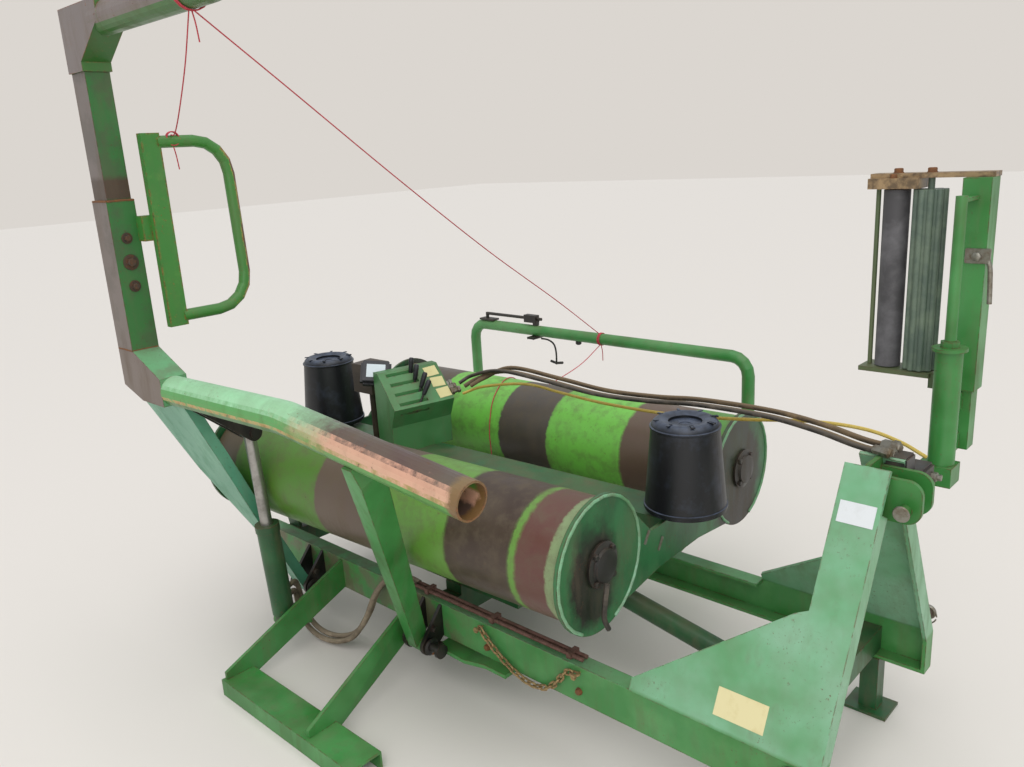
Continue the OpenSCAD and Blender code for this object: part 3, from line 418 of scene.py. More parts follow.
def bare_metal(name, colour, tinted, roughness, metallic=0.9, wide_mm=35):
    """Unpainted steel, stained and dulled in patches about wide_mm across."""
    made, tree = blank(name)
    place = add(tree, "TexCoord", output="Object")
    stain = patches(tree, place, wide_mm, 0.42, 0.66, 6, 0.7)
    tint = add(tree, "Mix", {0: stain, A: colour, B: tinted}, TINT, data_type="RGBA")
    rough = add(tree, "MapRange", {"Value": stain, "To Min": roughness, "To Max": min(1, roughness + 0.3)})
    grain = grained(tree, place, 2, 4, 0.12, 0.0006)
    surfaced(tree, {"Base Color": tint, "Metallic": metallic, "Roughness": rough, "Normal": grain})
    return made


def ragged(tree, place, axis, depth, wide_mm=30):
    """One coordinate of place, with an uneven edge of that depth in metres."""
    along = add(tree, "SeparateXYZ", {"Vector": place}, axis)
    blots = {"Vector": place, "Scale": MM / wide_mm, "Detail": 6, "Roughness": 0.7}
    shift = add(tree, "Math", {0: add(tree, "TexNoise", blots), 1: 0.5}, operation="SUBTRACT")
    shift = add(tree, "Math", {0: shift, 1: depth}, operation="MULTIPLY")
    return add(tree, "Math", {0: along, 1: shift}, operation="ADD")


def coated(material, *names):
    """Gives CAD nodes their material."""
    for name in names:
        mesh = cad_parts[name].data
        mesh.materials.clear()
        mesh.materials.append(material)


def plate_green_with_sheen(tree, place):
    """Full green on the beam along the foot of each side plate; on the web above it, paler green, of bleached
    paint and a painted sheen.
    """
    beam = patches(tree, place, 180, 0.40, 0.60, 4)
    beam = add(tree, "Mix", {0: beam, A: "#357d38", B: "#4c8f4c"}, TINT, data_type="RGBA")
    rear = ragged(tree, place, "X", 0.2, 80)
    rear = add(tree, "MapRange", {"Value": rear, "From Min": 0.10, "From Max": -0.05})
    scraped = add(tree, "Math", {0: rear, 1: patches(tree, place, 90, 0.46, 0.56, 6)}, operation="MULTIPLY")
    scraped = add(tree, "Math", {0: scraped, 1: 0.8}, operation="MULTIPLY")
    beam = add(tree, "Mix", {0: scraped, A: beam, B: "#6b5f4c"}, TINT, data_type="RGBA")
    # The web's pale greens are bleached paint with a painted sheen.
    web = patches(tree, place, 300, 0.38, 0.62, 4)
    web = add(tree, "Mix", {0: web, A: "#5c9a68", B: "#82b391"}, TINT, data_type="RGBA")
    height = ragged(tree, place, "Z", 0.006, 40)
    height = add(tree, "MapRange", {"Value": height, "From Min": 0.276, "From Max": 0.286})
    return add(tree, "Mix", {0: height, A: beam, B: web}, TINT, data_type="RGBA")


# Alkyd enamel, grass green with a low gloss that dust takes away. Its darker copy is painted shade,
# for the parts under and between others, and on the sides of the headstock it is chalky and pale with a
# painted sheen.
frame_paint = painted("green enamel", "#2a702c", "#4a9450", dirt=0.4, chips=0.85)
shaded_green_paint = painted("green enamel in painted shade", "#1c4a28", "#2c6a3c", dirt=0.6, chips=0.8)
head_paint = painted("bleached green enamel with painted sheen", plate_green_with_sheen, "#7db48c", dirt=0.4, chips=0.9)
# Iron under old grease: near black, and grey brown where dust clings to it.
grease = painted("greased black iron", "#141416", "#26241f", dirt=0.3, chips=0.25)
coated(head_paint, "near_side_plate", "far_side_plate")
coated(frame_paint, "top_link_clevis", "near_foot", "beam_brace")
# The cross members and parking feet take the darker green, painted shade.
coated(shaded_green_paint, "cross_members", "parking_feet")
coated(grease, "loader_pivots", "turntable")
# Zinc-plated links gone straw yellow, and pipes in a pink primer that was never painted over.
coated(bare_metal("zinc gone yellow", "#b09468", "#7a6448", 0.45, 0.6, 9), "beam_chain")
coated(bare_metal("pink primed pipe", "#7c5a50", "#5c4438", 0.6, 0.3), "beam_pipes")


# Hoop
# One bent round tube, welded to the far beam, that stops the bale. A black steel rod with a crossbar
# hangs from its top beside the film cutter, under a flat pad.
HOOP_Y = 0.970


def toward(place, axis, roll=0.0):
    """Where a shape goes whose own Z is to lie along axis."""
    turned_to = Vector(axis).to_track_quat("Z", "Y").to_matrix().to_4x4()
    return Matrix.Translation(place) @ turned_to @ Matrix.Rotation(roll, 4, "Z")


def turned(shape, profile, where, steps):
    """Adds a body of revolution, whose (radius, height) profile runs along its own Z."""
    rings = []
    for radius, height in profile:
        ring = []
        for k in range(steps):
            a = math.tau * k / steps
            ring.append(shape.verts.new(where @ Vector((radius * math.cos(a), radius * math.sin(a), height))))
        rings.append(ring)
    skinned(shape, rings)


def block(shape, where, wide, deep, high, chamfer):
    """Adds a box with chamfered edges, whose base is centred on where."""
    made = bmesh.ops.create_cube(shape, size=1)["verts"]
    for v in made:
        v.co = where @ Vector((v.co.x * wide, v.co.y * deep, (v.co.z + 0.5) * high))
    edges = list({e for v in made for e in v.link_edges})
    bmesh.ops.bevel(shape, geom=edges, offset=chamfer, segments=2, affect="EDGES")


# The brightest enamel of the frame: mint green, rusted where bales touch the tube.
coated(painted("mint enamel", "#35803c", "#5c9c5c", dirt=0.5, chips=1.0), "stop_hoop")
coated(grease, "film_cutter")
shape = bmesh.new()
block(shape, toward(at(-0.585, HOOP_Y, 0.7765), (0, 0, -1)), 0.034, 0.096, 0.007, 0.0015)
rod = [(-0.560, 0.766), (-0.520, 0.764), (-0.488, 0.748), (-0.476, 0.712), (-0.476, 0.656)]
crossbar = [(-0.508, 0.668), (-0.476, 0.662), (-0.440, 0.668)]
swept(shape, curved([at(x, HOOP_Y, z) for x, z in rod]), 0.004, 10)
swept(shape, [at(x, HOOP_Y, z) for x, z in crossbar], 0.006, 10)
boss = [(0.012, 0), (0.013, 0.002), (0.013, 0.012), (0.008, 0.016)]
turned(shape, boss, toward(at(-0.345, HOOP_Y, 0.7775), (0, 0, -1)), 18)
finished("hoop_rod", shape, grease, "chassis")


# Rollers
# Rolled steel shells with welded ends. Bales have worn their bright green enamel into bands round
# the shell, of green, brown rust and black grease, with a band of pink primer at the near one's end.
ROLLER_LENGTH = 1.47


def worn_through(tree, depth, coats):
    """The colours that show as depth goes from 0 to 1, from (depth, hex colour) pairs."""
    shown = add(tree, "ValToRGB", {"Fac": depth})
    marks = shown.node.color_ramp.elements
    for mark, (position, tint) in zip(marks, (coats[0], coats[-1])):
        mark.position = position
        mark.color = linear(tint)
    for position, tint in coats[1:-1]:
        marks.new(position).color = linear(tint)
    return shown


def banded(name, bands):
    """Bright green enamel with worn bands, given as (start in m from the rear end, colour)."""
    crisp = 0.002  # share of the length from a band's edge to its full colour
    ends = [start for start, tint in bands[1:]] + [ROLLER_LENGTH]

    def pattern(tree, place):
        share = {
            "Value": ragged(tree, place, "X", 0.022, 22),
            "From Min": SHIFT.x - ROLLER_LENGTH / 2,
            "From Max": SHIFT.x + ROLLER_LENGTH / 2,
        }
        stops = []
        for (start, tint), end in zip(bands, ends):
            stops.append((start / ROLLER_LENGTH + (crisp if start else 0), tint))
            stops.append((end / ROLLER_LENGTH - crisp, tint))
        tint = worn_through(tree, add(tree, "MapRange", share), stops)
        scuff = patches(tree, place, 45, 0.48, 0.64, 7, 0.7)
        scuff = add(tree, "Math", {0: scuff, 1: 0.35}, operation="MULTIPLY")
        return add(tree, "Mix", {0: scuff, A: tint, B: "#5a4f3c"}, TINT, data_type="RGBA")

    return painted(name, pattern, "#756a54", dirt=0.3, chips=0.8, edge=0.4)


near_bands = banded(
    "near roller enamel",
    [
        (0.00, "#54452f"),
        (0.15, "#4a7a22"),
        (0.575, "#5a4a3e"),
        (0.875, "#5f9236"),
        (1.125, "#35241c"),
        (1.345, "#5f9436"),
        (1.366, "#5c3630"),
        (1.462, "#7f9468"),
    ],
)
far_bands = banded(
    "far roller enamel",
    [
        (0.00, "#4c4238"),
        (0.285, "#74c44c"),
        (0.605, "#4a443e"),
        (0.825, "#74c44c"),
        (1.125, "#624f43"),
        (1.31, "#4c8f34"),
    ],
)
coated(near_bands, "near_roller")
coated(far_bands, "far_roller")


# Loader
# Round steel tubes on a box post and two legs, bolted and welded. Bales rub the inner tube down
# through salmon primer to grey steel on top, and the post's paint has gone from its near side.
LOADER_Y = -0.772


def uneven(tree, value, place, wide_mm, depth, detail=7):
    """value raised by up to depth, in blots about wide_mm across."""
    blots = {"Vector": place, "Scale": MM / wide_mm, "Detail": detail, "Roughness": 0.7}
    raised = add(tree, "Math", {0: add(tree, "TexNoise", blots), 1: depth}, operation="MULTIPLY")
    return add(tree, "Math", {0: value, 1: raised}, operation="ADD")


def worn_tube_with_painted_light(tree, place):
    """A mint painted highlight on top at the rear, salmon primer and grey steel on top toward the front, and
    below green that darkens downward as painted shade.
    """
    high = uneven(tree, facing(tree, "Z"), place, 34, 0.6)
    high = add(tree, "MapRange", {"Value": high, "From Min": -0.7, "From Max": 1.3})
    # The mint at the top of the rear ramp is a painted highlight; the darker greens at the foot of both ramps
    # are painted shade.
    rear = worn_through(
        tree,
        high,
        [
            (0.0, "#356e2c"),
            (0.28, "#3f7a34"),
            (0.31, "#a8803c"),
            (0.34, "#bfa05c"),
            (0.38, "#4f9a44"),
            (0.62, "#4f9c50"),
            (0.76, "#9cd2a4"),
        ],
    )
    front = worn_through(
        tree,
        high,
        [
            (0.0, "#3f7a2a"),
            (0.40, "#569a3e"),
            (0.45, "#b0945c"),
            (0.51, "#dcae92"),
            (0.80, "#d09c84"),
            (0.875, "#54403c"),
        ],
    )
    forward = {
        "Value": ragged(tree, place, "X", 0.5, 110),
        "From Min": SHIFT.x + 0.12,
        "From Max": SHIFT.x + 0.36,
    }
    forward = add(tree, "MapRange", forward)
    tint = add(tree, "Mix", {0: forward, A: rear, B: front}, TINT, data_type="RGBA")
    spots = patches(tree, place, 26, 0.63, 0.68, 6, 0.7)
    spots = add(tree, "Math", {0: spots, 1: forward}, operation="MULTIPLY")
    tint = add(tree, "Mix", {0: spots, A: tint, B: "#5a3020"}, TINT, data_type="RGBA")
    tip = {
        "Value": ragged(tree, place, "X", 0.05, 25),
        "From Min": SHIFT.x + 0.735,
        "From Max": SHIFT.x + 0.75,
    }
    tip = add(tree, "MapRange", tip)
    return add(tree, "Mix", {0: tip, A: tint, B: "#7a5a34"}, TINT, data_type="RGBA")


def box_sides(front, near, worn, band=None):
    """One colour on the faces that look along the machine, another on its sides, and a rusty band."""
    soft = 0.008

    def pattern(tree, place):
        sideways = add(tree, "Math", {0: facing(tree, "Y")}, operation="ABSOLUTE")
        sideways = add(tree, "MapRange", {"Value": sideways, "From Min": 0.45, "From Max": 0.6})
        tint = add(tree, "Mix", {0: sideways, A: front, B: near}, TINT, data_type="RGBA")
        patch = patches(tree, place, 120, 0.50, 0.60, 6, 0.65)
        patch = add(tree, "Math", {0: patch, 1: 0.4}, operation="MULTIPLY")
        tint = add(tree, "Mix", {0: patch, A: tint, B: worn}, TINT, data_type="RGBA")
        if not band:
            return tint
        low, high = band
        z = ragged(tree, place, "Z", 0.02, 20)
        over = add(tree, "MapRange", {"Value": z, "From Min": low - soft, "From Max": low + soft})
        under = add(tree, "MapRange", {"Value": z, "From Min": high + soft, "From Max": high - soft})
        within = add(tree, "Math", {0: over, 1: under}, operation="MULTIPLY")
        return add(tree, "Mix", {0: within, A: tint, B: "#4a3a2c"}, TINT, data_type="RGBA")

    return pattern


def head_sides(tree, place):
    """Mauve grey on the outer side and the rubbed top, green below with a rusty edge between."""
    high = uneven(tree, facing(tree, "Z"), place, 30, 0.6)
    high = add(tree, "MapRange", {"Value": high, "From Min": -0.7, "From Max": 1.3})
    inner = worn_through(
        tree,
        high,
        [
            (0.0, "#2f6428"),
            (0.56, "#3c7430"),
            (0.60, "#a09a50"),
            (0.64, "#8a4f34"),
            (0.72, "#6a5a52"),
            (1.0, "#7c726c"),
        ],
    )
    outer = add(tree, "MapRange", {"Value": facing(tree, "Y"), "From Min": -0.85, "From Max": -0.95})
    return add(tree, "Mix", {0: outer, A: inner, B: "#756a66"}, TINT, data_type="RGBA")


def rubbed_loop(tree, place):
    """Green, rubbed by bales to yellow and then to rust on the sides that meet them."""
    outward = add(tree, "Math", {0: facing(tree, "X"), 1: facing(tree, "Y")}, operation="ADD")
    outward = add(tree, "Math", {0: outward, 1: 0.7}, operation="MULTIPLY")
    outward = uneven(tree, outward, place, 40, 0.6)
    worn = add(tree, "MapRange", {"Value": outward, "From Min": 1.02, "From Max": 1.36})
    worn = add(tree, "Math", {0: worn, 1: patches(tree, place, 200, 0.30, 0.50)}, operation="MULTIPLY")
    coats = [(0.0, "#3a7f34"), (0.30, "#4c8a3a"), (0.36, "#a89a44"), (0.46, "#8a5a2c"), (0.60, "#5c3424")]
    return worn_through(tree, worn, coats)


def hexagon(shape, place, axis, across, high, washer=True):
    """Adds a hexagon head or nut with its chamfer and washer."""
    where = toward(place, axis, 0.3)
    base = 0.0
    if washer:
        base = 0.0022
        turned(shape, [(across * 0.66, 0), (across * 0.68, base * 0.4), (across * 0.66, base)], where, 20)
    head = [(across * 0.575, base), (across * 0.575, base + high * 0.8), (across * 0.49, base + high)]
    turned(shape, head, where, 6)


# The same enamel over salmon primer, in the layers that wear lays open: green, salmon, grey
# steel and rust on the tube, mauve grey on the head, grey brown on the post's sides. The tube's mint top at
# the rear is a painted highlight, and its darker green underside painted shade.
tube_paint = painted("worn tube enamel with painted highlight", worn_tube_with_painted_light, "#8fb08a", chips=0.9, primer="#8a4f30")
bright_paint = painted("head enamel", head_sides, "#8a8078", chips=0.9, primer="#9a5a38")
teal_paint = painted("teal green enamel", "#4d9474", "#6faa8c", dirt=0.25, chips=0.7)
post_sides = box_sides("#2f7034", "#6e635d", "#4c473c", (1.52, 1.585))
post_paint = painted("post enamel", post_sides, "#7b7263", chips=0.9)
knee_paint = painted("knee enamel", box_sides("#62a873", "#6c5f57", "#6a5c50"), "#8a8078", chips=0.9)
stop_paint = painted("stop enamel", rubbed_loop, "#6f9448", chips=1.0, primer="#a0602c", edge=2.0)
coated(tube_paint, "loader_tube")
coated(bright_paint, "loader_top_tube")
coated(teal_paint, "leg_a")
coated(frame_paint, "leg_b")
coated(stop_paint, "bale_stop")
coated(post_paint, "loader_post")
coated(knee_paint, "loader_knee")
coated(grease, "loader_gusset")

# Black bolts stained brown, and weld beads and screws under an even coat of rust.
dark_steel = bare_metal("stained steel", "#4a4038", "#6b4a34", 0.6, 0.4, 14)
rusty_steel = bare_metal("rusty steel", "#6d4a30", "#8a5a34", 0.7, 0.2, 12)
shape = bmesh.new()
for z, across in ((1.408, 0.017), (1.336, 0.024), (1.264, 0.018)):
    flange = [(across * 0.95, 0), (across, 0.002), (across * 0.95, 0.004)]
    turned(shape, flange, toward(at(-0.656, LOADER_Y, z), (1, 0, 0)), 24)
    hexagon(shape, at(-0.652, LOADER_Y, z), (1, 0, 0), across, 0.008)
finished("post_bolts", shape, dark_steel, "loader")

corners = [(-0.754, -0.812), (-0.658, -0.812), (-0.658, -0.732), (-0.754, -0.732)]
shape = bmesh.new()
for z, bead in ((1.518, 0.0036), (1.068, 0.0034)):
    for (x0, y0), (x1, y1) in zip(corners, corners[1:]):
        swept(shape, [at(x0, y0, z), at((x0 + x1) / 2, (y0 + y1) / 2, z + 0.001), at(x1, y1, z)], bead, 8)
finished("post_seams", shape, rusty_steel, "loader")


# Pivots
# The loader's legs turn on steel pins that lie along the near beam, each between two turned collars
# packed with black grease, and kept by a rusty split pin. Bolts hold the brackets.
PIVOT_Y = -0.420
PIVOT_Z = 0.165

collar = [(0.017, 0), (0.026, 0.002), (0.027, 0.006), (0.021, 0.010), (0.018, 0.011)]
shape = bmesh.new()
for x in (-0.500, 0.115):
    for out in (1, -1):
        turned(shape, collar, toward(at(x + out * 0.0468, PIVOT_Y, PIVOT_Z), (out, 0, 0)), 24)
for x, y, z in ((0.160, -0.402, 0.215), (0.160, -0.380, 0.150), (-0.455, -0.402, 0.215)):
    hexagon(shape, at(x, y, z), (1, 0, 0), 0.017, 0.010)
finished("pivot_collars", shape, grease, "chassis")
shape = bmesh.new()
for x in (-0.416, 0.199):
    swept(shape, [at(x, PIVOT_Y + y, PIVOT_Z) for y in (-0.025, 0, 0.026)], 0.003, 8)
finished("pivot_split_pins", shape, rusty_steel, "chassis")


# Table
# A welded beam on its tilting frame, with a flame-cut plate at each end. The rollers' shafts turn in
# flanged bearings on the plates, held by four bolts and caked in grease. A worn rubber strap hangs
# from the near front one.
SHAFT_Y = 0.388
SHAFT_Z = 0.597
PLATE_FACE = 0.753
BOLT_CIRCLE = 0.051
RIM = 0.176


def greased_and_shaded_hubs(tree, place):
    """Dark green, blackened round the two bearings and where their grease has run down; round the far bearing
    the black reaches wider, as painted shadow.
    """
    squash = 0.75  # grease reaches farther up and down than sideways
    tint = patches(tree, place, 160, 0.4, 0.6, 4)
    tint = add(tree, "Mix", {0: tint, A: "#174f2a", B: "#276a3c"}, TINT, data_type="RGBA")
    flat = add(tree, "Mapping", {"Vector": place, "Scale": (0, 1, squash)})
    # The far hub's black reaches wider: grease, and painted shadow where the plate lies in shade.
    for y, reach in ((-SHAFT_Y, 0.095), (SHAFT_Y, 0.150)):
        hub = table_at(0, y, SHAFT_Z - 0.022)
        hub = (0, hub.y, hub.z * squash)
        near = add(tree, "VectorMath", {0: flat, 1: hub}, "Value", operation="DISTANCE")
        near = uneven(tree, near, place, 50, 0.10, 6)
        near = add(tree, "MapRange", {"Value": near, "From Min": reach + 0.075, "From Max": reach + 0.035})
        tint = add(tree, "Mix", {0: near, A: tint, B: "#181612"}, TINT, data_type="RGBA")
    return tint


# Dark green enamel, lost under black grease round the shafts, and under painted shadow round the far one.
plate_paint = painted("end plate enamel", greased_and_shaded_hubs, "#2f7a4a", chips=0.8, dirt=0.45)
# The tilting frame and the table's beam take the darker green, painted shade.
coated(shaded_green_paint, "tilt_frame", "table_beam")
coated(plate_paint, "front_end_plate", "rear_end_plate")
flange = [(0.060, 0), (0.062, 0.008), (0.046, 0.012), (0.044, 0.019), (0.030, 0.021)]
for name, out in (("bearings_front", 1), ("bearings_rear", -1)):
    shape = bmesh.new()
    for y in (-SHAFT_Y, SHAFT_Y):
        way = (out * math.cos(TABLE_YAW), out * math.sin(TABLE_YAW), 0)
        turned(shape, flange, toward(table_at(out * PLATE_FACE, y, SHAFT_Z), way), 28)
        for k in range(4):
            a = math.tau * (k + 0.5) / 4
            dy, dz = BOLT_CIRCLE * math.cos(a), BOLT_CIRCLE * math.sin(a)
            place = table_at(out * (PLATE_FACE + 0.009), y + dy, SHAFT_Z + dz)
            hexagon(shape, place, (out, 0, 0), 0.015, 0.009, washer=False)
    finished(name, shape, grease, "tilting_frame")
shape = bmesh.new()
for s, start in ((-1, -60), (1, -72)):
    arc = []
    for k in range(25):
        a = math.radians(start + 13 * k)
        y, z = s * (SHAFT_Y + RIM * math.cos(a)), SHAFT_Z + RIM * math.sin(a)
        arc.append(table_at(PLATE_FACE + 0.0005, y, z))
    swept(shape, arc, 0.0045, 8)
# The rims take the pale web green: bleached paint with a painted sheen.
finished("end_plate_rims", shape, head_paint, "tilting_frame")

# Zinc plating gone dull: a light grey with brown stains and little shine.
zinc = bare_metal("dull zinc", "#8d8a80", "#6a5a44", 0.42, 0.8)
shape = bmesh.new()
for y, z in ((-0.174, 0.585), (-0.105, 0.540)):
    place = toward(table_at(PLATE_FACE, y, z), (1, 0, 0), math.radians(-34))
    block(shape, place, 0.012, 0.040, 0.0025, 0.001)
finished("plate_slots", shape, zinc, "tilting_frame")
strap = [(0.782, -0.405, 0.560), (0.784, -0.420, 0.510), (0.780, -0.418, 0.470), (0.783, -0.405, 0.435)]
shape = bmesh.new()
swept(shape, curved([table_at(*p) for p in strap]), 0.007, 8)
finished("worn_strap", shape, black_rubber, "tilting_frame")


# Guide cones
# Blow-moulded polyethylene, one at each end of the table, turning on a bolt sunk in its top. Each
# has a stepped rim at its foot and at its shoulder, and eight ribs on top.
RIBS = 8

# Black with a soft gloss and a few grey scuffs. Where it faces the sky it is painted bluish grey, a painted
# reflection of the sky.
cone_plastic, tree = blank("black polyethylene with painted sky reflection")
place = add(tree, "TexCoord", output="Object")
# Painted sky reflection: faces that look up turn bluish grey, in patches.
upper = add(tree, "MapRange", {"Value": facing(tree, "Z"), "From Min": 0.2, "From Max": 0.85})
upper = add(tree, "Math", {0: upper, 1: patches(tree, place, 30, 0.2, 0.8, 5)}, operation="MULTIPLY")
scuffed = patches(tree, place, 60, 0.50, 0.72, 6)
scuffed = add(tree, "Math", {0: scuffed, 1: 0.25}, operation="MULTIPLY")
pale = add(tree, "Math", {0: upper, 1: scuffed}, operation="MAXIMUM")
tint = add(tree, "Mix", {0: pale, A: "#090b10", B: "#4a5468"}, TINT, data_type="RGBA")
surfaced(tree, {"Base Color": tint, "Roughness": 0.42, "Normal": grained(tree, place, 3, 5, 0.15, 0.001)})

coated(cone_plastic, "front_cone", "rear_cone")
shoulder = [(0.0946, 0.232), (0.0965, 0.234), (0.0965, 0.238), (0.0930, 0.240)]
skirt = [(0.1125, 0.004), (0.1155, 0.006), (0.1155, 0.014), (0.1115, 0.016)]
for x, body in ((0.772, "front_guide"), (-0.772, "rear_guide")):
    shape = bmesh.new()
    foot = table_at(x, 0, 0.616)
    turned(shape, shoulder, toward(foot, (0, 0, 1)), 48)
    for k in range(RIBS):
        a = math.tau * k / RIBS
        place = foot + Vector((0.080 * math.cos(a), 0.080 * math.sin(a), 0.2555))
        block(shape, toward(place, (0, 0, 1), a), 0.018, 0.009, 0.0025, 0.001)
    turned(shape, skirt, toward(foot, (0, 0, 1)), 48)
    finished(body + "_rims", shape, cone_plastic, body)
    shape = bmesh.new()
    hexagon(shape, foot + Vector((0, 0, 0.2175)), (0, 0, 1), 0.030, 0.014)
    finished(body + "_bolt", shape, rusty_steel, body)


# Console
# A pressed steel cover over four spool valves. Four levers with moulded grips rise from its sloping
# panel, beside three blank cream labels, and zinc-plated couplings stand on its far end.
CONSOLE = (
    Matrix.Translation(table_at(-0.310, 0.010, 0))
    @ Matrix.Rotation(TABLE_YAW, 4, "Z")
    @ Matrix.Rotation(math.radians(-16), 4, "Z")
)
PANEL_DEEP = 0.115
PANEL_FALL = 0.110

# Green enamel on the panel, black nylon with a satin gloss on the grips, and vinyl gone cream.
coated(painted("panel enamel", "#2c6a30", "#4f8a54", dirt=0.45, chips=0.7), "console_cover")
coated(grease, "console_levers")
grip_plastic = moulded("black lever grip", "#17171a", "#2c2c30", 0.45, 20)
label_tint = moulded("cream label", "#d6cf96", "#c9bd84", 0.5, 30)
grip = [(0.0062, -0.052), (0.0078, -0.048), (0.0095, -0.012), (0.0088, 0.000), (0.0060, 0.004)]
shape = bmesh.new()
for slot, y, lean in ((0, -0.010, 8), (1, -0.015, 12), (2, -0.022, 24), (3, -0.028, 30)):
    foot = CONSOLE @ Vector((-0.029 + 0.030 * slot, y, 0.7373))
    way = Vector((0, math.sin(math.radians(lean)), math.cos(math.radians(lean))))
    way = (CONSOLE.to_3x3() @ way).normalized()
    turned(shape, grip, toward(foot + way * (0.170 - 0.018 * slot), way), 18)
finished("lever_grips", shape, grip_plastic, "tilting_frame")
slope = math.atan2(PANEL_FALL, PANEL_DEEP)
shape = bmesh.new()
for share, y, roll in ((0.20, 0.080, 0.06), (0.50, 0.086, -0.04), (0.80, 0.090, 0.05)):
    place = CONSOLE @ Vector((-0.040 + PANEL_DEEP * share, y, 0.872 - PANEL_FALL * share))
    turn = CONSOLE.to_3x3().to_4x4() @ Matrix.Rotation(slope, 4, "Y") @ Matrix.Rotation(roll, 4, "Z")
    block(shape, Matrix.Translation(place) @ turn, 0.040, 0.050, 0.0012, 0.0004)
finished("console_labels", shape, label_tint, "tilting_frame")
coupling = [
    (0.013, 0),
    (0.014, 0.002),
    (0.014, 0.012),
    (0.010, 0.014),
    (0.010, 0.024),
    (0.0125, 0.026),
    (0.0125, 0.036),
]
shape = bmesh.new()
for k in range(3):
    place = CONSOLE @ Vector((0.052 - 0.03 * k, 0.1175, 0.780 + 0.006 * k))
    turned(shape, coupling, toward(place, CONSOLE.to_3x3() @ Vector((0.1, 1, 0.12))), 6)
finished("console_fittings", shape, zinc, "tilting_frame")


# Counter
# A bale counter in an injection-moulded ABS housing, on a stalk beside the console. Its screen
# slopes up to whoever stands at the levers. The housing is brown black and satin, the screen grey.
coated(moulded("brown housing", "#33291f", "#4a3d30", 0.5), "counter")
screen_tint = moulded("grey screen", "#b9c4c8", "#d5dde0", 0.25, 30)
screen = toward(table_at(-0.451, -0.040, 0.845), (0.62, -0.42, 0.66), math.radians(-10))
shape = bmesh.new()
block(shape, screen, 0.108, 0.096, 0.034, 0.010)
block(shape, screen @ Matrix.Translation((0, 0, 0.0335)), 0.094, 0.082, 0.005, 0.002)
finished("counter_bezel", shape, grip_plastic, "tilting_frame")
shape = bmesh.new()
block(shape, screen @ Matrix.Translation((0, 0, 0.0384)), 0.066, 0.052, 0.0015, 0.0005)
finished("counter_screen", shape, screen_tint, "tilting_frame")


# Rams and hitch pins
# Two hydraulic rams, each a hard-chromed rod in a painted barrel: the chrome is bright and neutral,
# softened by dust. The hitch pins are turned steel, grey where links rub them, with zinc collars.
chrome = bare_metal("dusty hard chrome", "#a8a6a2", "#8d8983", 0.28)
coated(chrome, "lift_rod", "tilt_rod")
# The rams' barrels take the darker green, painted shade.
coated(shaded_green_paint, "lift_barrel", "tilt_barrel")
coated(bare_metal("worn steel", "#77716a", "#5c4a3c", 0.5), "lower_hitch_pins")
collar = [(0.019, 0), (0.022, 0.003), (0.022, 0.009), (0.019, 0.012)]
cap = [(0.017, 0), (0.019, 0.003), (0.017, 0.006)]
shape = bmesh.new()
for s in (-1, 1):
    turned(shape, collar, toward(at(1.283, s * 0.508, 0.245), (0, s, 0)), 24)
    angles = [math.tau * k / 20 for k in range(20)]
    ring = [at(1.283 + 0.024 * math.cos(a), s * 0.512, 0.236 + 0.026 * math.sin(a)) for a in angles]
    swept(shape, ring, 0.0022, 8)
for y in (-0.064, 0.064):
    turned(shape, cap, toward(at(1.377, y, 0.785), (0, y, 0)), 20)
finished("hitch_collars", shape, zinc, "chassis")


# Headstock fittings
# A blank white plate and a blank cream sticker, of enamelled sheet and faded vinyl, lie on the near
# web. Between the webs a cast hydraulic block takes three crimped hose ends and three couplings.
white_tint = moulded("white plate", "#dcdfe1", "#c9cccb", 0.4, 60)
cream_tint = moulded("cream sticker", "#ddd3a4", "#cfc28e", 0.5, 40)
lean = math.radians(28)
web_up = Vector((0, math.sin(lean), math.cos(lean)))
web_out = Vector((0, -math.cos(lean), math.sin(lean)))
web_turn = Matrix((Vector((1, 0, 0)), web_up, web_out)).transposed().to_4x4()


def on_web(x, up_m):
    """A place on the near web's outer face, up_m along it from the beam's top."""
    return Matrix.Translation(at(x, -0.360, 0.280) + web_up * up_m) @ web_turn


shape = bmesh.new()
block(shape, on_web(1.292, 0.560), 0.082, 0.050, 0.0012, 0.0004)
finished("white_plate", shape, white_tint, "chassis")
shape = bmesh.new()
block(shape, on_web(1.142, 0.062), 0.126, 0.066, 0.0008, 0.0003)
finished("cream_sticker", shape, cream_tint, "chassis")

# Black coating on cast iron: near black and satin, greyed by dust.
block_paint = painted("black coated block", "#1b1c20", "#3a3a3c", dirt=0.5, chips=0.3)
shape = bmesh.new()
block(shape, Matrix.Translation(at(1.330, 0.105, 0.7665)), 0.074, 0.150, 0.062, 0.006)
block(shape, Matrix.Translation(at(1.322, 0.070, 0.826)), 0.050, 0.062, 0.046, 0.004)
finished("hydraulic_block", shape, block_paint, "chassis")
shape = bmesh.new()
for dy, dz, r in ((0.0, 0.0, 0.0135), (0.032, 0.006, 0.0135), (-0.026, 0.012, 0.011)):
    crimped = [
        (r * 0.9, -0.034),
        (r, -0.032),
        (r, -0.010),
        (r * 1.25, -0.008),
        (r * 1.25, 0.006),
        (r, 0.008),
        (r * 0.8, 0.012),
    ]
    turned(shape, crimped, toward(at(1.305, 0.060 + dy, 0.872 + dz), (1, -0.2, 0)), 6)
port = [(0.012, 0), (0.012, 0.012), (0.008, 0.014), (0.008, 0.022)]
for y in (0.050, 0.105, 0.160):
    turned(shape, port, toward(at(1.367, y, 0.798), (1, 0, 0)), 6)
finished("headstock_fittings", shape, zinc, "chassis")
# Two rusty bolts on the near beam's outer face.
shape = bmesh.new()
for x in (0.350, 0.690):
    hexagon(shape, at(x, -0.360, 0.205), (0, -1, 0), 0.016, 0.008)
finished("frame_bolts", shape, rusty_steel, "chassis")


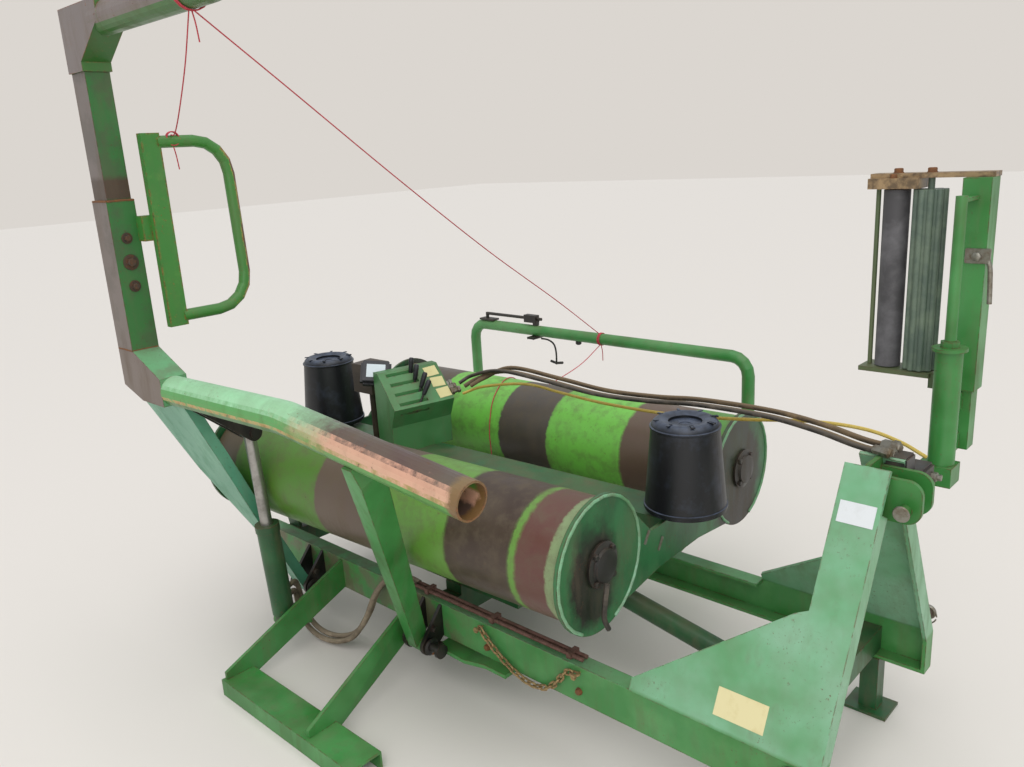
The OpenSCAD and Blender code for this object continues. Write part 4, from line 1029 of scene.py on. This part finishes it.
# Film dispenser
# A mast of square tube that swings on a round sleeve, with a roller of dull grey rubber and a fluted
# one of grey green polyethylene in a folded frame. A zinc-plated clamp and a yellow strap sit on the
# mast, and rusty bolts hold its head.
coated(frame_paint, "mast_bracket", "mast_inner", "mast")
coated(moulded("grey rubber roller", "#4a484a", "#6b696c", 0.6, 70), "grip_roller")
coated(moulded("fluted green grey roller", "#56665a", "#74836f", 0.5, 60), "ribbed_roller")


def fawn_head(tree, place):
    """Fawn primer on the head plates and their block, green below them."""
    fawn = patches(tree, place, 24, 0.42, 0.6, 6)
    fawn = add(tree, "Mix", {0: fawn, A: "#a08560", B: "#5f4d36"}, TINT, data_type="RGBA")
    height = add(tree, "SeparateXYZ", {"Vector": place}, "Z")
    height = add(tree, "MapRange", {"Value": height, "From Min": 1.446, "From Max": 1.450})
    return add(tree, "Mix", {0: height, A: "#47603c", B: fawn}, TINT, data_type="RGBA")


coated(painted("dispenser enamel", fawn_head, "#a98d6c", dirt=0.4), "dispenser_frame")
CLAMP_Y = 0.375
lever = [(1.392, 1.282), (1.398, 1.262), (1.401, 1.220), (1.403, 1.178)]
nut = [(0.010, 0), (0.011, 0.002), (0.011, 0.010), (0.008, 0.012)]
shape = bmesh.new()
block(shape, Matrix.Translation(at(1.369, CLAMP_Y, 1.274)), 0.056, 0.012, 0.036, 0.002)
turned(shape, nut, toward(at(1.369, CLAMP_Y - 0.006, 1.292), (0, -1, 0)), 6)
swept(shape, curved([at(x, CLAMP_Y, z) for x, z in lever]), 0.006, 8)
finished("mast_clamp", shape, zinc, "film_mast")
shape = bmesh.new()
for x, y in ((1.120, 0.455), (1.156, 0.392), (1.192, 0.455)):
    hexagon(shape, at(x, y, 1.476), (0, 0, 1), 0.014, 0.008)
for x in (1.157, 1.238):
    hexagon(shape, at(x, 0.424, 1.487), (0, 0, 1), 0.019, 0.010)
finished("dispenser_bolts", shape, rusty_steel, "film_mast")
strap = [(1.318, 0.3885, 1.430), (1.312, 0.3870, 1.350), (1.3165, 0.3880, 1.270), (1.3125, 0.3870, 1.180)]
shape = bmesh.new()
swept(shape, curved([at(*p) for p in strap]), 0.0035, 8)
finished("yellow_strap", shape, yellow_sleeve, "film_mast")


# Knots
# The twine is wound three times round the upper tube, the hoop and the stop, and knotted under each.
# A short end hangs from every knot.
WINDS = 3
LAY = 0.0045  # from one turn to the next
knots = [
    # name, middle, radius, body
    ("tube_knot", at(-0.081, LOADER_Y, 2.008), 0.048, "loader"),
    ("hoop_knot", at(-0.226, HOOP_Y, 0.800), 0.0262, "chassis"),
    ("stop_knot", at(-0.604, -0.610, 1.688), 0.020, "loader"),
]
for name, middle, radius, body in knots:
    where = toward(middle, (1, 0, 0))
    turns = []
    for k in range(20 * WINDS + 1):
        a = math.tau * k / 20
        turns.append(where @ Vector((radius * math.cos(a), radius * math.sin(a), LAY * k / 20)))
    below = middle + Vector((0.004, 0, -radius))
    tail = [below, below + Vector((0.004, 0.003, -0.03)), below + Vector((0.001, 0.008, -0.07))]
    shape = bmesh.new()
    swept(shape, turns, TWINE, 6)
    swept(shape, curved(tail), TWINE, 6)
    finished(name, shape, twine_red, body)


# Upper tube's collar
# A turned steel collar, welded where the upper tube comes out of the head of the post, and painted
# with it.
collar = [(0.044, 0), (0.045, 0.006), (0.040, 0.013), (0.026, 0.018), (0.012, 0.020)]
shape = bmesh.new()
turned(shape, collar, toward(at(-0.508, LOADER_Y, 2.008), (1, 0, 0)), 28)
finished("tube_collar", shape, bright_paint, "loader")


# Floor and light
# A plain pale floor that goes over into a pale background. The light is a soft sky, a sun spread as
# wide as an overcast one, and a large lamp at the camera's side.
floor_tint, tree = blank("pale floor")
surfaced(tree, {"Base Color": "#dad4cd", "Roughness": 0.9})
bpy.ops.mesh.primitive_plane_add(size=SIGHT, location=(0, 0, -0.001))
floor = bpy.context.object
floor.name = "floor"
floor.data.materials.append(floor_tint)
world = bpy.data.worlds.new("studio")
scene.world = world
world.use_nodes = True
tree = world.node_tree
tree.nodes.clear()
rays = add(tree, "LightPath").node.outputs
seen = add(tree, "Math", {0: rays["Is Camera Ray"], 1: rays["Is Transmission Ray"]}, operation="MAXIMUM")
lit = add(tree, "Background", {"Color": "#eef1f4", "Strength": 0.74})
pale = add(tree, "Background", {"Color": "#dbd6d0", "Strength": 1.0})
add(tree, "OutputWorld", {"Surface": add(tree, "MixShader", {0: seen, 1: lit, 2: pale})})

sun = bpy.data.lights.new("overcast", "SUN")
sun.energy = 1.55
sun.angle = math.radians(70)
panel = bpy.data.lights.new("camera side", "AREA")
panel.energy = 90
panel.size = 4
lit_at = Vector((0, 0, 0.6))
for lamp, place in ((sun, (0.8, -0.6, 4.0)), (panel, (3.5, -4.5, 3.2))):
    made = bpy.data.objects.new(lamp.name, lamp)
    made.location = place
    made.rotation_euler = (lit_at - Vector(place)).to_track_quat("-Z", "Y").to_euler()
    scene.collection.objects.link(made)
